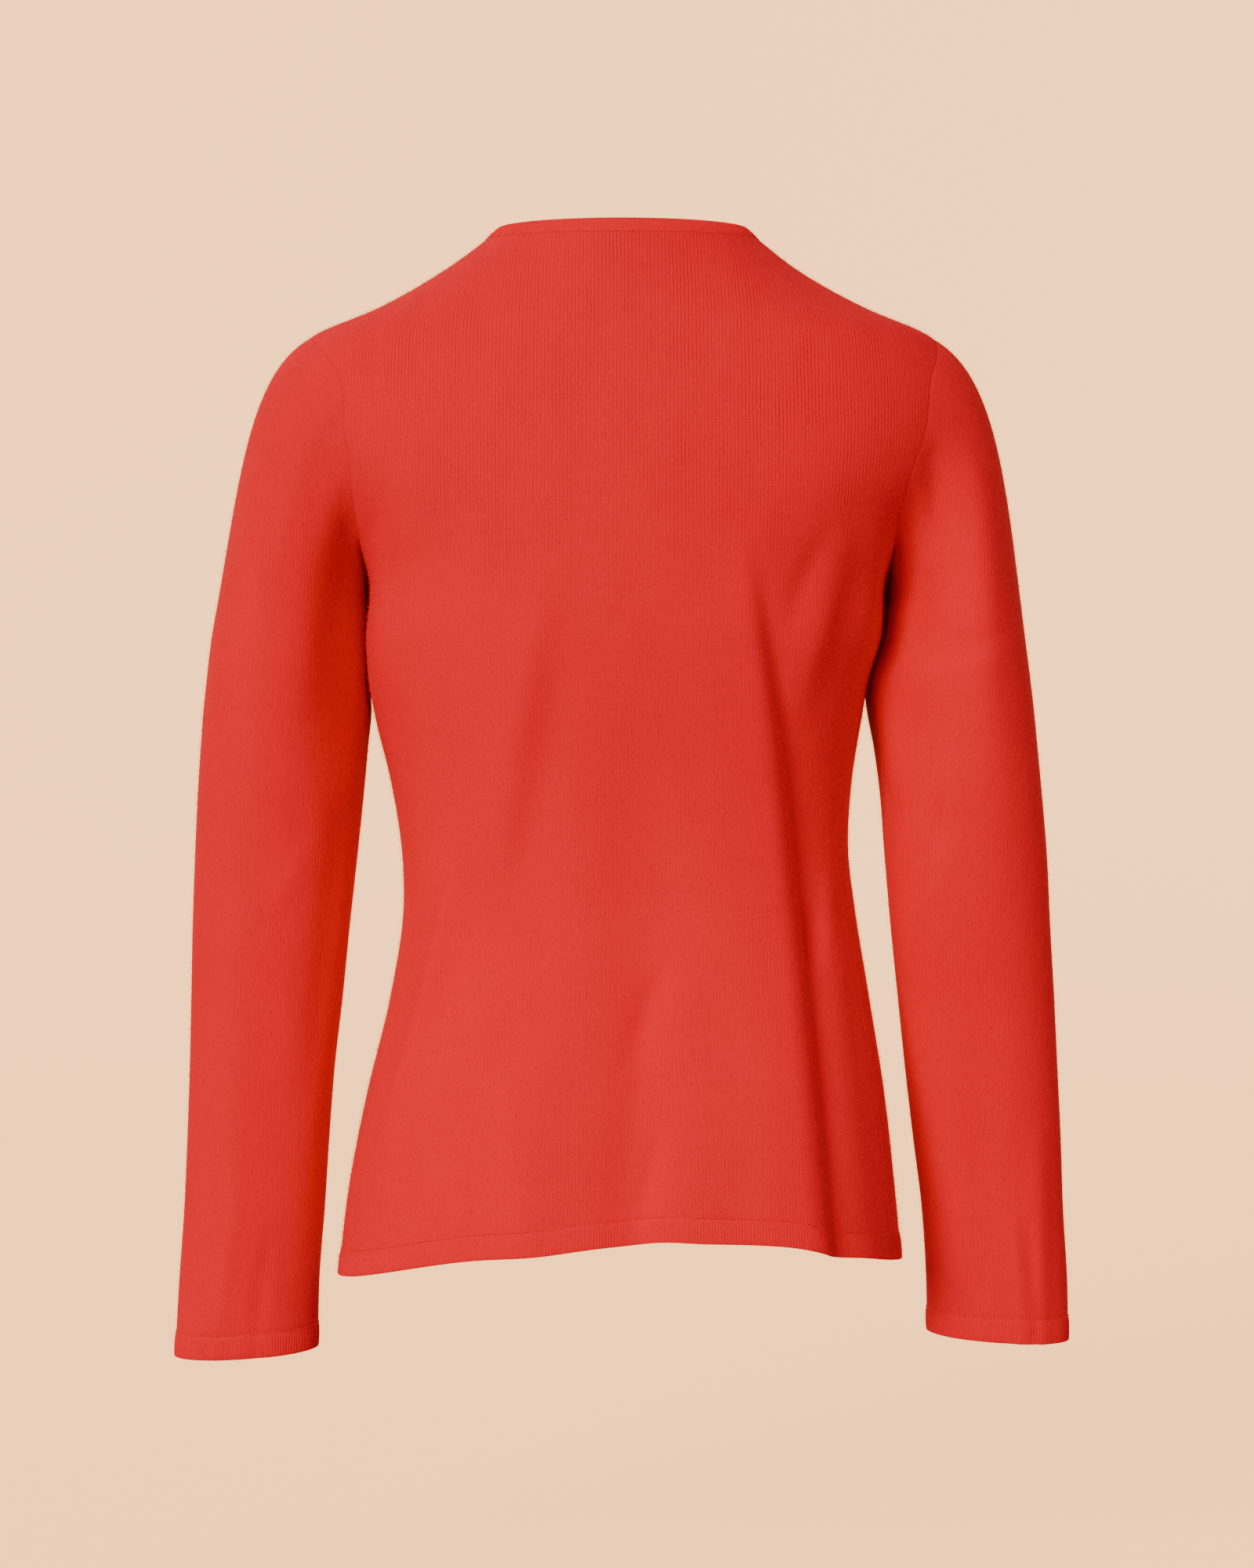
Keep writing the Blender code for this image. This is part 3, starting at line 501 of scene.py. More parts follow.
# The wool's reds: its plain red, a darker red painted as shade into the hollows between the wales, and the
# light fibre tips.
WOOL_SHADE_RED = (0.44, 0.004, 0.012, 1)
WOOL = (0.75, 0.0035, 0.011, 1)
WOOL_TIP = (0.84, 0.009, 0.017, 1)
WALE = 2.1 * MM
COURSE = 1.6 * MM
CLEAR_ABOVE, HAZY_BELOW = -0.09, -0.27  # brushing hides the wales more and more on the way down


def wool_finish(name, wale, course, groove_shade, stitch_height):
    """Plain knit in brushed wool: columns of slanting stitches under a haze of loose fibres, with shade
    painted darker into the hollows between them.
    """
    finish = Finish(name)
    place = finish.cloth_place()
    u, v, _ = finish.parts(place)
    solid = finish.solid_place()
    drift = finish.noise(place, 0.030, 1.0)
    wobble = finish.noise(place, 0.004, 2.0)
    zones = finish.noise(finish.stretched(place, (1, 0.4, 1)), 0.026, 2.0).step(0.38, 0.66)
    clear = finish.parts(solid)[2].step(HAZY_BELOW, CLEAR_ABOVE) * 0.55 + zones * 0.30 + 0.15
    across = (u / wale + drift * 0.5 + wobble * 0.16).part()
    from_middle = abs(across * 2 - 1)
    row = v / course + from_middle * 0.55 + wobble * 0.3
    leg = 1 - from_middle ** 5
    dip = 1 - (1 - from_middle) ** 6 * 0.15
    stitch = leg * dip * ((row * 2 * math.pi).cosine() * 0.14 + 0.86)

    long_fibres = finish.noise(finish.stretched(place, (1, 0.22, 1)), 0.0015, 3.0, 0.65)
    cross_fibres = finish.noise(finish.stretched(place, (0.3, 1, 1)), 0.0014, 2.0, 0.6)
    haze = long_fibres * 0.6 + cross_fibres * 0.4
    mottle = finish.noise(finish.stretched(place, (0.3, 1, 1)), 0.007, 2.0)
    cloud = finish.noise(solid, 0.055, 3.0, 0.55)

    # Painted shade: the colour darkens in the hollows between the wales and the stitch rows; depth adds
    # random mottling to that and sets the mix from the shade red to the plain red.
    shade = 1 - (1 - stitch) * clear * groove_shade
    depth = shade * 0.75 + cloud * 0.22 + mottle * 0.16 + haze * 0.30 - 0.15
    tips = (haze * 0.75 + cloud * 0.25).step(0.50, 0.78) * 0.45
    height = stitch * clear * stitch_height + haze * 0.30 * MM + mottle * 0.10 * MM
    finish.set(
        Base_Color=finish.mix(tips, finish.mix(depth.step(0.15, 1.0), WOOL_SHADE_RED, WOOL), WOOL_TIP),
        Roughness=haze * 0.15 + 0.80,
        Normal=finish.bump(height, 1.0),
        Specular_IOR_Level=0.03,
        Sheen_Weight=0.06,
        Sheen_Roughness=0.5,
        Sheen_Tint=(1.0, 0.07, 0.08, 1),
    )
    return finish.material


knit = wool_finish("brushed_knit", WALE, COURSE, 0.42, 0.30 * MM)
outer_faces = {}  # the bare outer face of each wool piece, for its loose fibres


def dress(made, node, material):
    """What every piece of cloth is given."""
    made.data.materials.append(material)
    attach(made, "garment")
    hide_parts(node)


def knit_panel(name, node, angle, drop, outward, start_column):
    points = cloth_point(angle, drop)
    uv = panel_uv(points, start_column)
    outer_faces[name] = (points, outward, uv)
    dress(wall(name, points, outward, uv), node, knit)


def cap_start(side, clock):
    """The way in which the sleeve's cloth leaves the armhole."""
    angle = np.radians(clock)
    steep = math.sin(CAP_SLOPE)
    out = np.full_like(angle, side * math.cos(CAP_SLOPE))
    return unit(np.stack([out, -steep * np.sin(angle), -steep * np.cos(angle)], axis=-1))


def seam_point(side, clock):
    """The armhole's seam at a clock position all round (180 to 360 is the front half)."""
    behind = clock <= 180
    back = armhole_place(side, 1, np.clip(clock, 0, 180))
    front = armhole_place(side, -1, np.clip(360 - clock, 0, 180))
    angle, drop = (np.where(behind, b, f) for b, f in zip(back, front))
    return cloth_point(angle, drop), body_normal(angle, drop)


def seam_normal(side, clock):
    """Halfway between the outward directions of the body and of the sleeve at the armhole."""
    turn, inwards = 4, -0.2
    before, after = (seam_point(side, (clock + step) % 360)[0] for step in (-turn, turn))
    sleeve = unit(np.cross(after - before, cap_start(side, clock))) * -side
    body = seam_point(side, clock)[1]
    sleeve = np.where(np.sum(sleeve * body, axis=-1, keepdims=True) < inwards, -sleeve, sleeve)
    return unit(sleeve + body)


def panel_outward(angle, drop, sides, face):
    """A panel's outward directions, with the seam's own along its armholes (sides: of each edge column)."""
    outward = body_normal(angle, drop)
    clock = np.linspace(180, 0, ARMHOLE_ROWS + 1)
    for column, side in sides.items():
        seam = seam_normal(side, clock if face > 0 else (360 - clock) % 360)
        outward[SIDE_ROWS : SIDE_ROWS + ARMHOLE_ROWS + 1, column] = seam
    return outward


shoulder = np.linspace(SHOULDER_DROP, NECK_SEWN[-1][1], SHOULDER_ROWS + 1)[1:]
back_edges = []
for side in (1, -1):
    ridge = np.stack([np.full_like(shoulder, body_angle(side, 1, 0)), shoulder], axis=-1)
    back_edges.append(np.concatenate([side_edge(side), armhole_edge(side, 1), ridge]))
angle, drop = panel(*back_edges, BACK_COLUMNS)
neck_side_drop = NECK_SEWN[-1][1]
lift = ease((neck_side_drop + NECK_LIFT_REACH - back_edges[0][:, 1:]) / NECK_LIFT_REACH)
drop = drop + lift * (NECK_BACK_SEWN_DROP - neck_side_drop) * np.sin(angle) ** 2
outward = panel_outward(angle, drop, {0: 1, -1: -1}, 1)
knit_panel("back_cloth", "back_panel", angle, drop, outward, BACK_COLUMNS // 2)

for name, side in SIDES:
    low = hem_drop(-math.pi / 2) - BAND_HEIGHT
    breast = np.linspace(UNDERARM_DROP, NECK_SEWN[0][1], BREAST_ROWS + 1)[1:]
    zip_drops = np.concatenate([np.linspace(low, UNDERARM_DROP, SIDE_ROWS + 1), breast])
    middle_edge = np.stack([angle_at_x(side * FRONT_EDGE, zip_drops), zip_drops], axis=-1)
    v_edge = even_places(*neck_line(NECK_SEWN, side), V_ROWS)[1:]
    outer_edge = np.concatenate([side_edge(side), armhole_edge(side, -1)])
    angle, drop = panel(outer_edge, np.concatenate([middle_edge, v_edge]), FRONT_COLUMNS)
    outward = panel_outward(angle, drop, {0: side}, -1)
    cloth_name, node = f"front_cloth_{name}", f"front_panel_{name}"
    knit_panel(cloth_name, node, angle, drop, outward, -1)

# --- Sleeves --------------------------------------------------------
# Each sleeve is one knitted piece with its seam at the underarm, set into the armhole. It arches out of the
# shoulder and hangs down the arm, a little forward at the wrist, with creases at the underarm and the elbow.
Arm = namedtuple("Arm", "drop outer inner middle depth ahead slant", defaults=[0, 0])
ARM = {
    "left": [Arm(*row) for row in (
        (222, 232, 147.8, 1, 52, 38),
        (244, 235.5, 147.9, 4, 49, 40),
        (266, 238, 146.8, 5, 47, 40),
        (285, 240, 146, 5, 45, 38),
        (300, 241.2, 147.2, 4.5, 43.5, 32),
        (325, 243, 148.8, 3, 41, 20),
        (366, 245.5, 152.5, -3, 38, 6),
        (407, 247.5, 157, -9, 35.5),
        (448, 249, 161.5, -16, 33),
        (489, 250.5, 166.5, -22, 31, 0, 0.5),
        (530, 252.5, 170, -28, 29, 0, 1),
        (572, 255, 173, -34, 27, 0, 2),
        (613, 258.5, 176.5, -40, 25, 0, 3),
        (656, 261.5, 178, -46, 23, 0, 4),
    )],
    "right": [Arm(*row) for row in (
        (222, 228.5, 152.8, 1, 51, 38),
        (244, 231, 149.2, 4, 48, 40),
        (266, 233.8, 141.4, 5, 46.5, 40),
        (285, 236, 142.6, 5, 45, 38),
        (300, 237.5, 145.2, 4.5, 43.5, 32),
        (325, 240, 148.2, 3, 41, 20),
        (366, 244, 151, -3, 38, 6),
        (407, 246.5, 154.5, -9, 35.5),
        (448, 249.5, 159, -16, 33, 0, 0.5),
        (489, 252, 163.5, -22, 31, 0, 1),
        (530, 254.5, 168.5, -28, 29, 0, 1.5),
        (572, 256.5, 174, -34, 27, 0, 2),
        (613, 259.5, 177, -40, 24.5, 0, 3),
        (646.5, 260.5, 178, -45, 23, 0, 4),
    )],
}
CAP_REACH, CAP_FALL = 40.0, 75.0  # how far the cap's curve runs on out of the armhole and up from the arm
UNDERARM_REACH, UNDERARM_FALL = 1.0, 9.0  # the same at the underarm
CAP_ROWS, ARM_ROWS = 34, 110
CREASE_ROWS = 8  # the finer creases start this close to the armhole
FOLD_GROWTH = 1.5  # the folds reach their full height this many times sooner than the cap's end
ARM_SQUARENESS = 0.92  # below 1: squarer than an ellipse
TILT = 0.7  # a ring's lowest place, outside and behind, is then lower by about its whole slant
ARM_FOLD_ENDS = 0.7  # below 1: the folds' ends are blunt
FALL_STEP = 8  # the cap's end follows the arm's direction over this drop

# Clock positions and widths are in degrees round the arm: 0 outside, 90 behind, 180 inside, 270 before.
ArmFold = namedtuple("ArmFold", "upper upper_drop lower lower_drop height width")
ARM_FOLDS = {
    "left": [ArmFold(*row) for row in (
        (118, 150, 100, 290, 2.5, 15),
        (148, 250, 132, 520, -2.0, 16),
        (285, 300, 235, 350, 2.5, 20),
        (240, 350, 300, 395, 2.5, 18),
        (60, 400, 84, 640, 2.0, 16),
    )],
    "right": [ArmFold(*row) for row in (
        (100, 105, 112, 200, -2.5, 12),
        (66, 130, 74, 330, 2.0, 15),
        (60, 236, 110, 262, -1.5, 20),
        (240, 310, 292, 355, 2.5, 20),
        (295, 350, 238, 392, 2.5, 18),
        (50, 520, 62, 650, 2.0, 12),
        (92, 430, 104, 640, -1.8, 15),
    )],
}
ARM_CREASES = {
    "left": [ArmFold(*row) for row in (
        (136, 170, 122, 250, -1.4, 7),
        (96, 330, 120, 372, -1.2, 11),
        (118, 352, 90, 402, 1.0, 9),
        (78, 560, 70, 650, 1.0, 6),
        (104, 585, 98, 652, -1.1, 6),
        (255, 322, 268, 372, -1.5, 9),
        (195, 172, 193, 240, 2.2, 28),
        (150, 182, 146, 345, 5.0, 15),
        (204, 262, 214, 340, 1.2, 12),
    )],
    "right": [ArmFold(*row) for row in (
        (97, 112, 113, 200, -1.7, 6),
        (112, 84, 116, 130, -1.4, 6),
        (118, 330, 100, 368, -1.2, 11),
        (96, 352, 124, 398, 1.0, 9),
        (66, 575, 62, 645, -1.3, 5),
        (78, 570, 75, 640, 1.2, 5),
        (258, 330, 250, 378, -1.5, 9),
        (195, 172, 192, 256, 2.1, 28),
        (147, 182, 142, 340, 5.0, 14),
        (204, 262, 216, 340, 1.2, 12),
    )],
}


def arm_point(sleeve, clock, drop):
    table = ARM[sleeve]
    outer, inner = read(table, "outer", drop), read(table, "inner", drop)
    angle = np.radians(clock)
    across, along = np.cos(angle), np.sin(angle)
    x = (outer + inner) / 2 + (outer - inner) / 2 * np.copysign(np.abs(across) ** ARM_SQUARENESS, across)
    inwards = ((1 - across) / 2) ** 3
    y = read(table, "middle", drop) + read(table, "depth", drop) * along
    y = y - read(table, "ahead", drop) * inwards
    z = -drop - read(table, "slant", drop) * (across + along) * TILT
    return np.stack(np.broadcast_arrays(x if sleeve == "left" else -x, y, z), axis=-1)


def arm_fold_height(folds, clock, drop):
    total = np.zeros(np.broadcast(clock, drop).shape)
    for fold in folds:
        t = np.clip((drop - fold.upper_drop) / (fold.lower_drop - fold.upper_drop), 0, 1)
        off = clock - (fold.upper + (fold.lower - fold.upper) * t)
        total += fold.height * np.sin(math.pi * t) ** ARM_FOLD_ENDS * np.exp(-((off / fold.width) ** 2))
    return total


def tube_outward(points, side):
    """Outward directions of a sleeve's grid, whose first and last columns meet at the underarm seam."""
    ring = points[:, :-1]
    around = np.roll(ring, -1, axis=1) - np.roll(ring, 1, axis=1)
    outward = unit(np.cross(np.gradient(ring, axis=0), around)) * side
    return np.concatenate([outward, outward[:, :1]], axis=1)


for sleeve, side in SIDES:
    clocks = np.linspace(180, 540, 2 * ARMHOLE_ROWS + 1) % 360
    first, last = ARM[sleeve][0].drop, ARM[sleeve][-1].drop - BAND_HEIGHT
    high = ((1 + np.cos(np.radians(clocks))) / 2)[:, None]
    leaves = cap_start(side, clocks)
    start = seam_point(side, clocks)[0]
    end = arm_point(sleeve, clocks, first)
    fall = unit(arm_point(sleeve, clocks, first + FALL_STEP) - end)
    out = start + leaves * (UNDERARM_REACH + (CAP_REACH - UNDERARM_REACH) * high)
    down = end - fall * (UNDERARM_FALL + (CAP_FALL - UNDERARM_FALL) * high)
    t = np.linspace(0, 1, CAP_ROWS + 1)[:, None, None]
    cap = (1 - t) ** 3 * start + 3 * (1 - t) ** 2 * t * out + 3 * (1 - t) * t * t * down + t**3 * end
    arm = arm_point(sleeve, clocks, np.linspace(first, last, ARM_ROWS + 1)[1:, None])
    points = np.concatenate([cap, arm])
    outward = tube_outward(points, side)
    outward[0] = seam_normal(side, clocks)
    row = np.arange(len(points))[:, None]
    lift = arm_fold_height(ARM_FOLDS[sleeve], clocks, -points[..., 2]) * ease(row / CAP_ROWS * FOLD_GROWTH)
    lift += arm_fold_height(ARM_CREASES[sleeve], clocks, -points[..., 2]) * ease(row / CREASE_ROWS)
    points = points + outward * lift[..., None]
    name = f"sleeve_cloth_{sleeve}"
    uv = cloth_uv(points, ARMHOLE_ROWS)
    outer_faces[name] = (points, outward, uv)
    dress(wall(name, points, outward, uv), f"sleeve_{sleeve}", knit)

# --- Bands ----------------------------------------------------------
# Narrow bands of fine rib finish the neck, the hem and the cuffs. They are a little thicker than the plain
# knit and linked to it by a row of small loops; each rib is a real ridge.
RIB_PITCH = 1.65
RIB_COLUMNS = 4  # crest, flank, hollow, flank
RIB_HEIGHT = 0.17
BAND_STEP = 0.6
BAND_ROWS = 7
RIB_START = 0.15  # share of the band's height over which the ribs rise
SEWN_DIP, FREE_DIP = 0.8, 0.4  # how much of the step each edge loses
LINK_LENGTH, LINK_RADIUS, LINK_PROUD = 1.35, 0.30, 0.12
LINK_RINGS = [(-0.5, 0.4), (-0.2, 1.0), (0.2, 1.0), (0.5, 0.4)]  # (share of the length, of the radius)
NECK_FREE = [(5, 141), (25, 112), (71.5, 7)]

rib = wool_finish("fine_rib", RIB_PITCH * MM, COURSE, 0.25, 0.10 * MM)


def yarn_finish(name, dark, light):
    """Spun yarn: its twist shows as fine slanting flecks."""
    finish = Finish(name)
    place = finish.solid_place()
    twist = finish.noise(finish.stretched(place, (1, 1, 0.4)), 0.0005, 1.0)
    finish.set(
        Base_Color=finish.mix(twist, dark, light),
        Roughness=twist * 0.2 + 0.6,
        Normal=finish.bump(twist * 0.05 * MM, 1.0),
        Specular_IOR_Level=0.2,
    )
    return finish.material


class Plan(Nodes):
    """A Geometry Nodes tree with named inputs."""

    def __init__(self, name, inputs):
        self.tree = bpy.data.node_groups.new(name, "GeometryNodeTree")
        self.identifiers = {}
        for label, kind in {"Geometry": "NodeSocketGeometry", **inputs}.items():
            socket = self.tree.interface.new_socket(label, in_out="INPUT", socket_type=kind)
            self.identifiers[label] = socket.identifier
        self.tree.interface.new_socket("Geometry", in_out="OUTPUT", socket_type="NodeSocketGeometry")
        self.begin = self.tree.nodes.new("NodeGroupInput")

    def given(self, label):
        return Wire(self, self.begin.outputs[label])

    def end(self, copies):
        """Makes the copies real, gives them their material and hands them out."""
        real = self.node("GeometryNodeRealizeInstances", None, {0: copies})
        finished = self.node("GeometryNodeSetMaterial", None, {0: real, "Material": self.given("Material")})
        self.join(finished, self.tree.nodes.new("NodeGroupOutput").inputs[0])
        return self

    def grow(self, name, base, slot, values):
        """Runs the plan on a base object, which it uses up, and keeps the result as a plain mesh."""
        bpy.context.scene.collection.objects.link(base)
        modifier = base.modifiers.new(name, "NODES")
        modifier.node_group = self.tree
        for label, value in values.items():
            modifier[self.identifiers[label]] = value
        graph = bpy.context.evaluated_depsgraph_get()
        mesh = bpy.data.meshes.new_from_object(base.evaluated_get(graph))
        bpy.data.objects.remove(base)
        made = put_in_scene(name, mesh)
        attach(made, "garment")
        return made


def row_plan():
    """Copies of one small part at even steps along a line, upright on it."""
    inputs = {"Part": "NodeSocketObject", "Pitch": "NodeSocketFloat", "Material": "NodeSocketMaterial"}
    plan = Plan("row_of_parts", inputs)
    line = plan.node("GeometryNodeMeshToCurve", None, {0: plan.given("Geometry")})
    sockets = {"Curve": line, "Length": plan.given("Pitch")}
    steps = plan.node("GeometryNodeResampleCurve", {"mode": "LENGTH"}, sockets)
    tangent = plan.node("GeometryNodeInputTangent")
    settings = {"axis": "Z", "pivot_axis": "X"}
    turn = plan.node("FunctionNodeAlignRotationToVector", settings, {"Vector": tangent})
    part = plan.node("GeometryNodeObjectInfo", None, {"Object": plan.given("Part")}, output=4)
    sockets = {"Points": steps, "Instance": part, "Rotation": turn}
    return plan.end(plan.node("GeometryNodeInstanceOnPoints", None, sockets))


def line_base(points):
    mesh = bpy.data.meshes.new("line")
    edges = [(i, i + 1) for i in range(len(points) - 1)]
    mesh.from_pydata([tuple(point) for point in points * MM], edges, [])
    return bpy.data.objects.new("line", mesh)


def solid_of_rings(name, rings):
    """A closed mesh through equal rings of points, with both ends filled."""
    bm = bmesh.new()
    loops = [[bm.verts.new(np.array(point) * MM) for point in ring] for ring in rings]
    for low, high in zip(loops, loops[1:]):
        for i in range(len(low)):
            j = (i + 1) % len(low)
            bm.faces.new((low[i], low[j], high[j], high[i]))
    bm.faces.new(loops[0])
    bm.faces.new(loops[-1])
    bmesh.ops.recalc_face_normals(bm, faces=bm.faces)
    return bpy.data.objects.new(name, smooth_mesh(name, bm, 38))


def yarn_part(name, rings, length, radius, sides=7):
    """A short stitch along +Z, through rings of (share of the length, of the radius)."""
    turns = np.linspace(0, 2 * math.pi, sides + 1)[:-1]
    around = [(math.cos(turn) * radius, math.sin(turn) * radius) for turn in turns]
    return solid_of_rings(name, [[(x * r, y * r, z * length) for x, y in around] for z, r in rings])


rows_of = row_plan()
link_yarn = yarn_finish("linking_yarn", WOOL, WOOL_TIP)
link = yarn_part("link", LINK_RINGS, LINK_LENGTH, LINK_RADIUS)


def rib_count(length):
    return RIB_COLUMNS * round(length / RIB_PITCH)


def raise_ribs(points, outward, sewn_row):
    """The band's outer face: it rises from the sewn edge, rounds off at the free one and carries ribs."""
    rows, columns = points.shape[:2]
    from_seam = np.abs(np.linspace(0, 1, rows) - (0 if sewn_row == 0 else 1))[:, None]
    crown = BAND_STEP * (1 - SEWN_DIP * (1 - from_seam) ** 5 - FREE_DIP * from_seam**6)
    wave = np.cos(2 * math.pi * np.arange(columns) / RIB_COLUMNS)
    ridge = RIB_HEIGHT * wave * ease(from_seam / RIB_START)
    return points + outward * (crown + ridge)[..., None]


def band(name, node, cloth, outward, sewn_row):
    """A band over its strip of the cloth, and the loops that link it there."""
    points = raise_ribs(cloth, outward, sewn_row)
    uv = cloth_uv(points, points.shape[1] // 2)
    outer_faces[name] = (points, outward, uv)
    made = wall(name, points, outward, uv, thickness=CLOTH + BAND_STEP, rounding=0.35)
    dress(made, node, rib)
    line = line_base(cloth[sewn_row] + outward[sewn_row] * LINK_PROUD)
    values = {"Part": link, "Pitch": RIB_PITCH * MM, "Material": link_yarn}
    rows_of.grow(name + "_linking", line, "rib", values)


seam_left, seam_right = (body_angle(side, 1, SIDE_SEAM_TURN) for side in (1, -1))
hem_spans = {
    "back": (seam_left, seam_right, (0.37, 0.014)),
    "front_left": (seam_left, float(angle_at_x(FRONT_EDGE, HEM_DROP)), (0.27, 0.014)),
    "front_right": (seam_right, float(angle_at_x(-FRONT_EDGE, HEM_DROP)), (0.27, 0.014)),
}
for name, (start, end, flat) in hem_spans.items():
    fine = np.linspace(start, end, 600)
    length = length_along(body_point(fine, hem_drop(fine)))
    ordered = np.interp(np.linspace(0, length[-1], rib_count(length[-1]) + 1), length, fine)
    drop = hem_drop(ordered) - np.linspace(0, BAND_HEIGHT, BAND_ROWS)[:, None]
    angle = np.broadcast_to(ordered, drop.shape)
    points, outward = cloth_point(angle, drop), body_normal(angle, drop)
    band(f"hem_{name}", f"hem_band_{name}", points, outward, -1)

strips = []
back_turns = np.linspace(0, math.pi, 400)
for points, back_drop in ((NECK_SEWN, NECK_BACK_SEWN_DROP), (NECK_FREE, NECK_FREE[-1][1])):
    side_drop = points[-1][1]
    back_drops = side_drop + (back_drop - side_drop) * np.sin(back_turns) ** 2
    if not strips:
        leg_ribs = rib_count(length_along(body_point(*neck_line(points, 1)))[-1])
        back_ribs = rib_count(length_along(body_point(back_turns, back_drops))[-1])
    legs = [even_places(*neck_line(points, side), leg_ribs) for side in (1, -1)]
    back = even_places(back_turns, back_drops, back_ribs)[1:-1]
    strips.append(np.concatenate([legs[0], back, legs[1][::-1]]))
t = np.linspace(0, 1, BAND_ROWS)[:, None]
angle, drop = (strips[0][:, i] * (1 - t) + strips[1][:, i] * t for i in (0, 1))
points, outward = cloth_point(angle, drop), body_normal(angle, drop)
band("neck_band", "neckband", points, outward, 0)

for sleeve, side in SIDES:
    last = ARM[sleeve][-1].drop
    fine = np.linspace(180, 540, 721)
    length = length_along(arm_point(sleeve, fine, last))
    turns = np.interp(np.linspace(0, length[-1], rib_count(length[-1]) + 1), length, fine)
    drops = np.linspace(last - BAND_HEIGHT, last, BAND_ROWS)[:, None]
    points = arm_point(sleeve, turns, drops)
    outward = tube_outward(points, side)
    arm_folds = ARM_FOLDS[sleeve] + ARM_CREASES[sleeve]
    raised = arm_fold_height(arm_folds, turns % 360, last - BAND_HEIGHT)
    points = points + outward * raised[None, :, None]
    band(f"cuff_{sleeve}", f"cuff_band_{sleeve}", points, outward, 0)
bpy.data.objects.remove(link)

# --- Zip tapes ------------------------------------------------------
# Two woven tapes carry the zip. They lie behind the edges of the fronts and are sewn to them.
TAPE_INNER, TAPE_OUTER = 0.6, 15.0
TAPE_DEPTH, TAPE_THICKNESS = 2.5, 1.0
TAPE_TOP_DROP, TAPE_BOTTOM_DROP = 142.0, 588.0
TAPE_ROWS, TAPE_COLUMNS = 150, 9
CHEVRON_WIDTH, WEFT_PITCH, CHEVRON_SLANT = 3.2 * MM, 0.9 * MM, 1.6
TAPE_COLOUR = (0.30, 0.012, 0.010, 1)
TAPE_THREAD = (0.44, 0.022, 0.016, 1)


def tape_finish():
    """A close herringbone weave."""
    finish = Finish("zip_tape_weave")
    place = finish.cloth_place()
    u, v, _ = finish.parts(place)
    slant = (u / CHEVRON_WIDTH).part() * 2 - 1
    thread = ((v / WEFT_PITCH + abs(slant) * CHEVRON_SLANT) * 2 * math.pi).cosine() * 0.5 + 0.5
    fleck = finish.noise(place, 0.0006, 1.0)
    finish.set(
        Base_Color=finish.mix(thread * 0.7 + fleck * 0.3, TAPE_COLOUR, TAPE_THREAD),
        Roughness=fleck * 0.15 + 0.65,
        Normal=finish.bump(thread * 0.16 * MM + fleck * 0.05 * MM, 1.0),
        Specular_IOR_Level=0.35,
    )
    return finish.material


tape_weave = tape_finish()
tape_drops = np.linspace(TAPE_BOTTOM_DROP, TAPE_TOP_DROP, TAPE_ROWS)[:, None]
for name, side in SIDES:
    xs = side * np.linspace(TAPE_INNER, TAPE_OUTER, TAPE_COLUMNS)
    angle = angle_at_x(xs, tape_drops)
    drop = np.broadcast_to(tape_drops, angle.shape)
    outward = body_normal(angle, drop)
    points = cloth_point(angle, drop) - outward * TAPE_DEPTH
    made = wall(f"tape_{name}", points, outward, cloth_uv(points, 0), TAPE_THICKNESS, rounding=0.2)
    dress(made, f"zip_tape_{name}", tape_weave)

# --- Zip metal ------------------------------------------------------
# The slider with its bridge, the pull tab on its bar and the box at the foot are cast and plated; their
# edges are broken, so that they catch the light.
METAL = (0.60, 0.60, 0.62, 1)
METAL_WORN = (0.78, 0.77, 0.76, 1)


def metal_finish():
    finish = Finish("plated_metal")
    place = finish.solid_place()
    cloud = finish.noise(place, 0.004, 3.0, 0.6)
    grain = finish.noise(finish.stretched(place, (1, 1, 0.12)), 0.0004, 2.0, 0.6)
    finish.set(
        Base_Color=finish.mix(cloud.step(0.35, 0.7), METAL, METAL_WORN),
        Metallic=1.0,
        Roughness=grain * 0.18 + 0.22,
        Normal=finish.bump(grain * 0.02 * MM, 1.0),
    )
    return finish.material


metal = metal_finish()


def cast_copy(name, node, body, edge):
    """The solid with its flat faces whole again and every edge broken."""
    bm = bmesh.new()
    bm.from_mesh(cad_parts[node].data)
    bmesh.ops.remove_doubles(bm, verts=bm.verts, dist=1e-6)
    bmesh.ops.dissolve_limit(bm, angle_limit=math.radians(2), verts=bm.verts, edges=bm.edges)
    sharp = [e for e in bm.edges if e.is_manifold and e.calc_face_angle() > math.radians(35)]
    width = edge * MM
    bmesh.ops.bevel(
        bm, geom=sharp, offset=width, segments=2, affect="EDGES", profile=0.5, clamp_overlap=True
    )
    made = put_in_scene(name, smooth_mesh(name, bm, 50))
    made.data.materials.append(metal)
    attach(made, body)
    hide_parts(node)


cast_copy("slider", "zip_slider", "garment", 0.18)
cast_copy("pull_tab", "zip_pull_tab", "pull_tab", 0.16)
cast_copy("foot_box", "zip_box", "garment", 0.2)

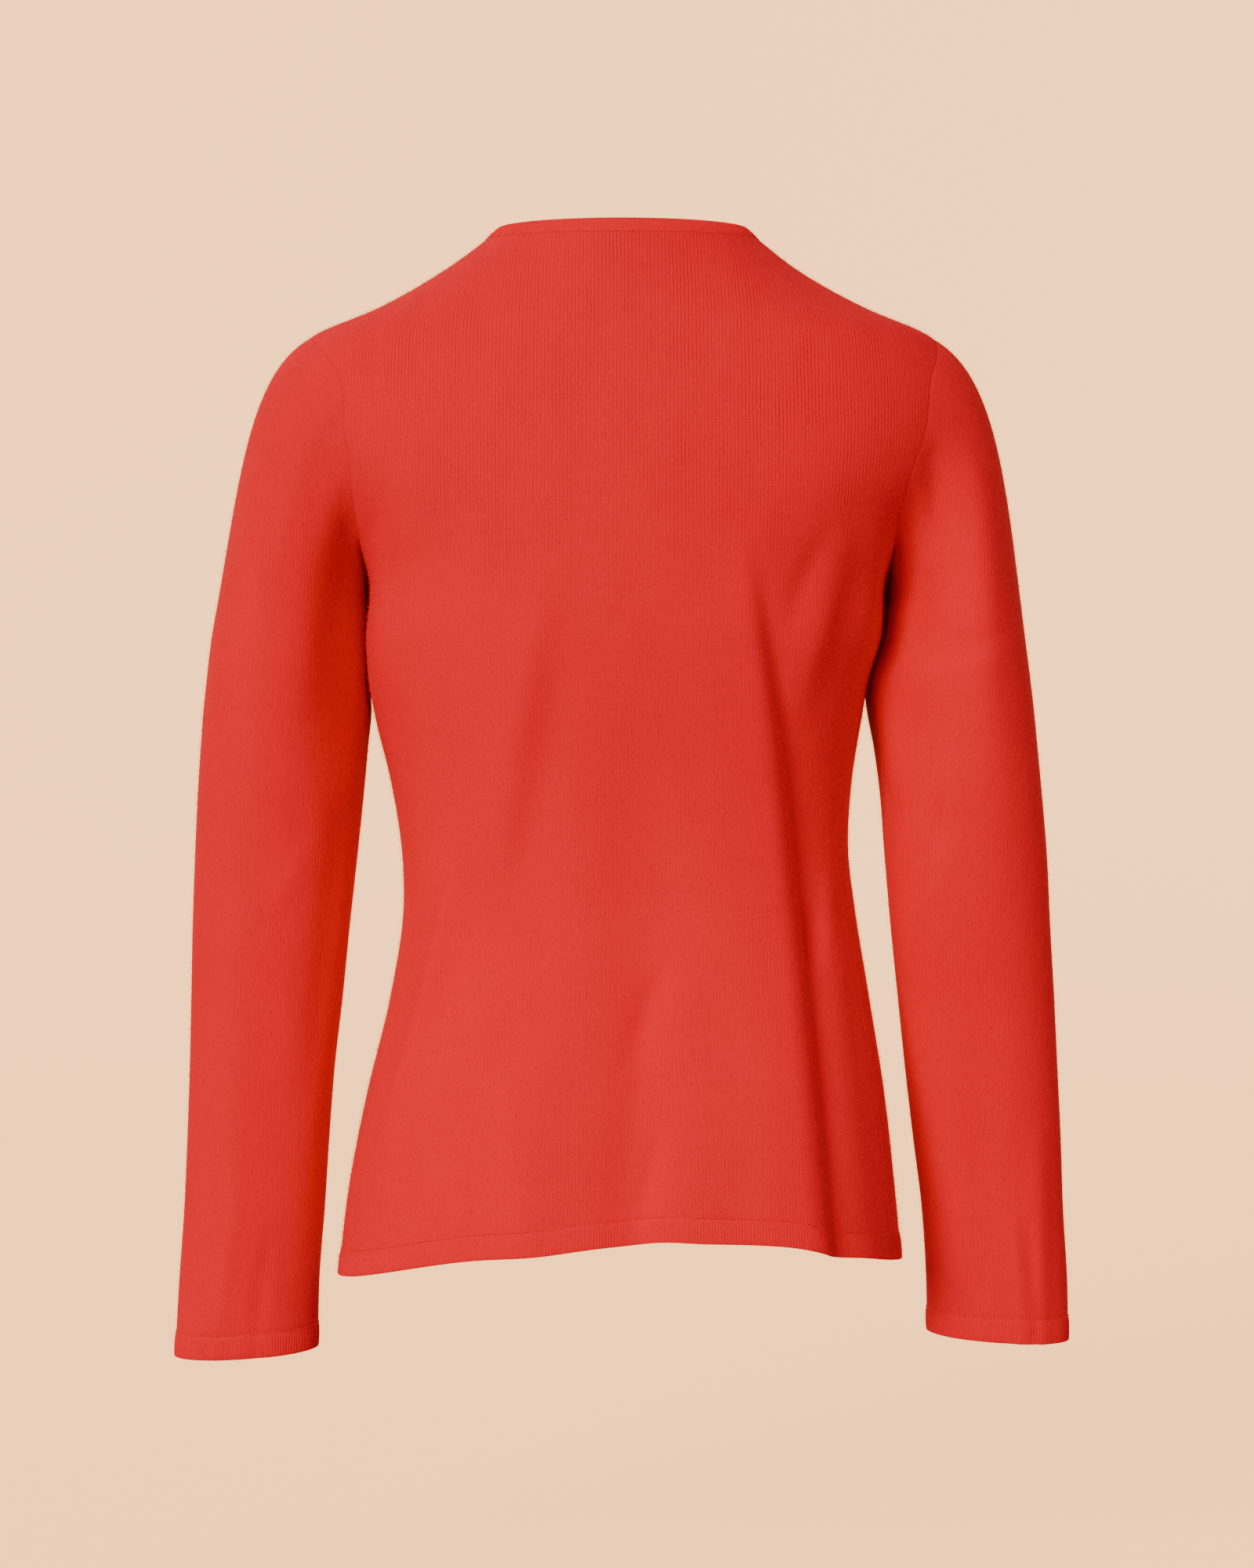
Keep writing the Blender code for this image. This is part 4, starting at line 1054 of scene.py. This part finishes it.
# --- Chain ----------------------------------------------------------
# The chain is two rows of pressed metal teeth, clamped on the tapes' inner edges; each hooks between two of
# the other row. A row of thread stitches down each front edge holds the tape.
CHAIN_DEPTH = TAPE_DEPTH + TAPE_THICKNESS / 2
CHAIN_TOP_DROP, CHAIN_BOTTOM_DROP = 151.0, 582.0
TOOTH_PITCH = 2.2
TOOTH_OUTLINE = [(-0.75, 0.5), (0.3, 0.75), (0.9, 1.12), (2.7, 1.12), (2.95, 0.8)]  # half, seen from above
TOOTH_LAYERS = [(-0.52, 0.82), (-0.34, 1.0), (0.34, 1.0), (0.52, 0.82)]  # (height, share of the outline)
LINE_STEP = 4.0  # between the points of the lines that teeth and stitches follow
STITCH_FROM_EDGE, STITCH_PROUD = 2.2, 0.05
STITCH_FOOT, STITCH_TOP = 3, 4  # the rows run from this much below the chain to this far below the neckband
STITCH_PITCH, STITCH_LENGTH, STITCH_RADIUS = 3.1, 2.3, 0.26
STITCH_RINGS = [(-0.5, 0.35), (-0.3, 0.9), (0.0, 1.0), (0.3, 0.9), (0.5, 0.35)]
THREAD = (0.42, 0.005, 0.006, 1)

for (name, side), offset in zip(SIDES, (0.0, TOOTH_PITCH / 2)):
    half = [(side * x, y) for x, y in TOOTH_OUTLINE]
    outline = half + [(x, -y) for x, y in reversed(half)]
    tooth = solid_of_rings("tooth", [[(x * s, y * s, z) for x, y in outline] for z, s in TOOTH_LAYERS])
    drops = np.arange(CHAIN_BOTTOM_DROP - offset, CHAIN_TOP_DROP, -LINE_STEP)
    middle = np.full_like(drops, -math.pi / 2)
    line = cloth_point(middle, drops) - body_normal(middle, drops) * CHAIN_DEPTH
    values = {"Part": tooth, "Pitch": TOOTH_PITCH * MM, "Material": metal}
    rows_of.grow(f"teeth_{name}", line_base(line), "zip_metal", values)
    bpy.data.objects.remove(tooth)

# The thread's darker flecks take the same dark red as the knit's painted shade, here only as the thread's
# own colour.
sewing_thread = yarn_finish("sewing_thread", WOOL_SHADE_RED, THREAD)
stitch = yarn_part("stitch", STITCH_RINGS, STITCH_LENGTH, STITCH_RADIUS)
for name, side in SIDES:
    drops = np.arange(CHAIN_BOTTOM_DROP + STITCH_FOOT, NECK_SEWN[0][1] + STITCH_TOP, -LINE_STEP)
    angles = angle_at_x(side * (FRONT_EDGE + STITCH_FROM_EDGE), drops)
    line = cloth_point(angles, drops) + body_normal(angles, drops) * STITCH_PROUD
    values = {"Part": stitch, "Pitch": STITCH_PITCH * MM, "Material": sewing_thread}
    rows_of.grow(f"tape_stitches_{name}", line_base(line), "zip_tape", values)
bpy.data.objects.remove(stitch)

# --- Loose fibres ---------------------------------------------------
# The wool is brushed, so that short, fine, bent fibres stand out of it all over and soften its outlines.
FIBRE_LENGTH, FIBRE_WIDTH, FIBRE_ROOT = 2.1, 0.11, 0.25
FIBRE_BEND = 0.55  # how far the tip leans over, as a share of the length
FIBRES_PER_SQUARE_METRE = 200000
FIBRE_LEAN = 1.1
FIBRE_SCALES = (0.4, 1.4)


def fibre_plan():
    """Copies of one fibre set at random all over a surface, each leaning its own way."""
    inputs = {
        "Part": "NodeSocketObject",
        "Density": "NodeSocketFloat",
        "Shortest": "NodeSocketFloat",
        "Longest": "NodeSocketFloat",
        "Seed": "NodeSocketInt",
        "Material": "NodeSocketMaterial",
    }
    plan = Plan("loose_fibres", inputs)
    seed = plan.given("Seed")
    sockets = {"Mesh": plan.given("Geometry"), "Density": plan.given("Density"), "Seed": seed}
    roots = plan.node("GeometryNodeDistributePointsOnFaces", None, sockets)
    upright = Wire(plan, roots.socket.node.outputs["Rotation"])
    settings = {"data_type": "FLOAT_VECTOR"}
    low, high = (-FIBRE_LEAN, -FIBRE_LEAN, 0.0), (FIBRE_LEAN, FIBRE_LEAN, 2 * math.pi)
    lean = plan.node("FunctionNodeRandomValue", settings, {0: low, 1: high, "Seed": seed + 1})
    lean = plan.node("FunctionNodeEulerToRotation", None, {0: lean})
    turn = plan.node("FunctionNodeRotateRotation", {"rotation_space": "LOCAL"}, {0: upright, 1: lean})
    sockets = {2: plan.given("Shortest"), 3: plan.given("Longest"), "Seed": seed + 2}
    scale = plan.node("FunctionNodeRandomValue", None, sockets)
    part = plan.node("GeometryNodeObjectInfo", None, {"Object": plan.given("Part")}, output=4)
    sockets = {"Points": roots, "Instance": part, "Rotation": turn, "Scale": scale}
    return plan.end(plan.node("GeometryNodeInstanceOnPoints", None, sockets))


def make_fibre():
    """A flat bent hair: it tapers from its middle to the root, which is in the cloth, and to the tip."""
    half, knee = FIBRE_WIDTH / 2, FIBRE_LENGTH * 0.5
    tip = (0, FIBRE_LENGTH * FIBRE_BEND, FIBRE_LENGTH)
    corners = [(0, 0, -FIBRE_ROOT), (-half, 0, knee), (half, 0, knee), tip]
    mesh = bpy.data.meshes.new("fibre")
    mesh.from_pydata([tuple(np.array(corner) * MM) for corner in corners], [], [(0, 2, 1), (1, 2, 3)])
    mesh.shade_smooth()
    return bpy.data.objects.new("fibre", mesh)


fibre_finish = Finish("wool_fibre")
fleck = fibre_finish.noise(fibre_finish.solid_place(), 0.003, 2.0)
fibre_finish.set(
    Base_Color=fibre_finish.mix(fleck, WOOL, WOOL_TIP),
    Roughness=0.9,
    Specular_IOR_Level=0.02,
)
fibres = fibre_plan()
fibre = make_fibre()
for number, (name, (points, outward, uv)) in enumerate(outer_faces.items()):
    _, faces = quads(*points.shape[:2])
    faces = outward_order(points, outward, faces)
    base = mesh_object(name + "_face", points.reshape(-1, 3), faces, uv.reshape(-1, 2))
    bpy.context.scene.collection.objects.unlink(base)
    values = {
        "Part": fibre,
        "Density": float(FIBRES_PER_SQUARE_METRE),
        "Shortest": FIBRE_SCALES[0],
        "Longest": FIBRE_SCALES[1],
        "Seed": number * 10,
        "Material": fibre_finish.material,
    }
    slot = "knit" if "_cloth" in name else "rib"
    fibres.grow(name + "_fibres", base, slot, values)
bpy.data.objects.remove(fibre)

# --- Studio ---------------------------------------------------------
# A pale floor that curves up all round at a distance, and soft light: the main one comes from the wearer's
# upper left, a weaker one from before them.
CAMERA_X, CAMERA_DISTANCE, CAMERA_Z = -0.0027, 2.5, -0.32535
FRAME_HEIGHT = 0.9
FLOOR_DROP = 0.80
SWEEP_RADIUS, SWEEP_CURVE, SWEEP_HEIGHT = 5.5, 1.2, 4.0
CURVE_POINTS, SWEEP_SIDES = 13, 96
PAPER = (0.55, 0.30, 0.13, 1)
PAPER_GLOW, PAPER_STRENGTH = (1.0, 0.48, 0.18, 1), 2.5
AIR_COLOUR, AIR_STRENGTH = (0.90, 0.98, 1.18, 1), 0.56

camera_data = bpy.data.cameras.new("camera")
camera_data.sensor_width = 36
camera_data.lens = camera_data.sensor_width * CAMERA_DISTANCE / FRAME_HEIGHT
camera = put_in_scene("camera", camera_data)
camera.location = (CAMERA_X, CAMERA_DISTANCE, CAMERA_Z)
camera.rotation_euler = (math.radians(90), 0, math.radians(180))
bpy.context.scene.camera = camera


def make_sweep():
    bend = np.linspace(0, math.pi / 2, CURVE_POINTS)
    flat = SWEEP_RADIUS - SWEEP_CURVE
    profile = [(0.0, 0.0), *zip(flat + SWEEP_CURVE * np.sin(bend), SWEEP_CURVE * (1 - np.cos(bend)))]
    profile.append((SWEEP_RADIUS, SWEEP_HEIGHT))
    bm = bmesh.new()
    line = [bm.verts.new((radius, 0, height - FLOOR_DROP)) for radius, height in profile]
    edges = [bm.edges.new(pair) for pair in zip(line, line[1:])]
    turn = {"axis": (0, 0, 1), "cent": (0, 0, 0), "steps": SWEEP_SIDES, "angle": 2 * math.pi}
    bmesh.ops.spin(bm, geom=line + edges, **turn)
    bmesh.ops.remove_doubles(bm, verts=bm.verts, dist=1e-4)
    bmesh.ops.recalc_face_normals(bm, faces=bm.faces)
    floor = put_in_scene("floor", smooth_mesh("floor", bm))
    floor.visible_shadow = False
    floor.visible_diffuse = False
    return floor


paper = Finish("studio_paper")
paper.set(Base_Color=PAPER, Roughness=1.0, Specular_IOR_Level=0.0)
paper.set(Emission_Color=PAPER_GLOW, Emission_Strength=PAPER_STRENGTH)
floor = make_sweep()
floor.data.materials.append(paper.material)


def soft_light(name, azimuth, elevation, strength, softness):
    """A broad, far lamp; azimuth is measured from straight behind the wearer towards their left."""
    data = bpy.data.lights.new(name, "SUN")
    data.energy, data.angle = strength, math.radians(softness)
    lamp = put_in_scene(name, data)
    lamp.rotation_euler = (math.radians(90 - elevation), 0, math.radians(180 - azimuth))


soft_light("main_light", azimuth=28, elevation=20, strength=3.35, softness=24)
soft_light("front_light", azimuth=150, elevation=35, strength=1.1, softness=40)
world = bpy.data.worlds.new("studio_air")
world.use_nodes = True
air = world.node_tree.nodes["Background"].inputs
air["Color"].default_value = AIR_COLOUR
air["Strength"].default_value = AIR_STRENGTH
bpy.context.scene.world = world
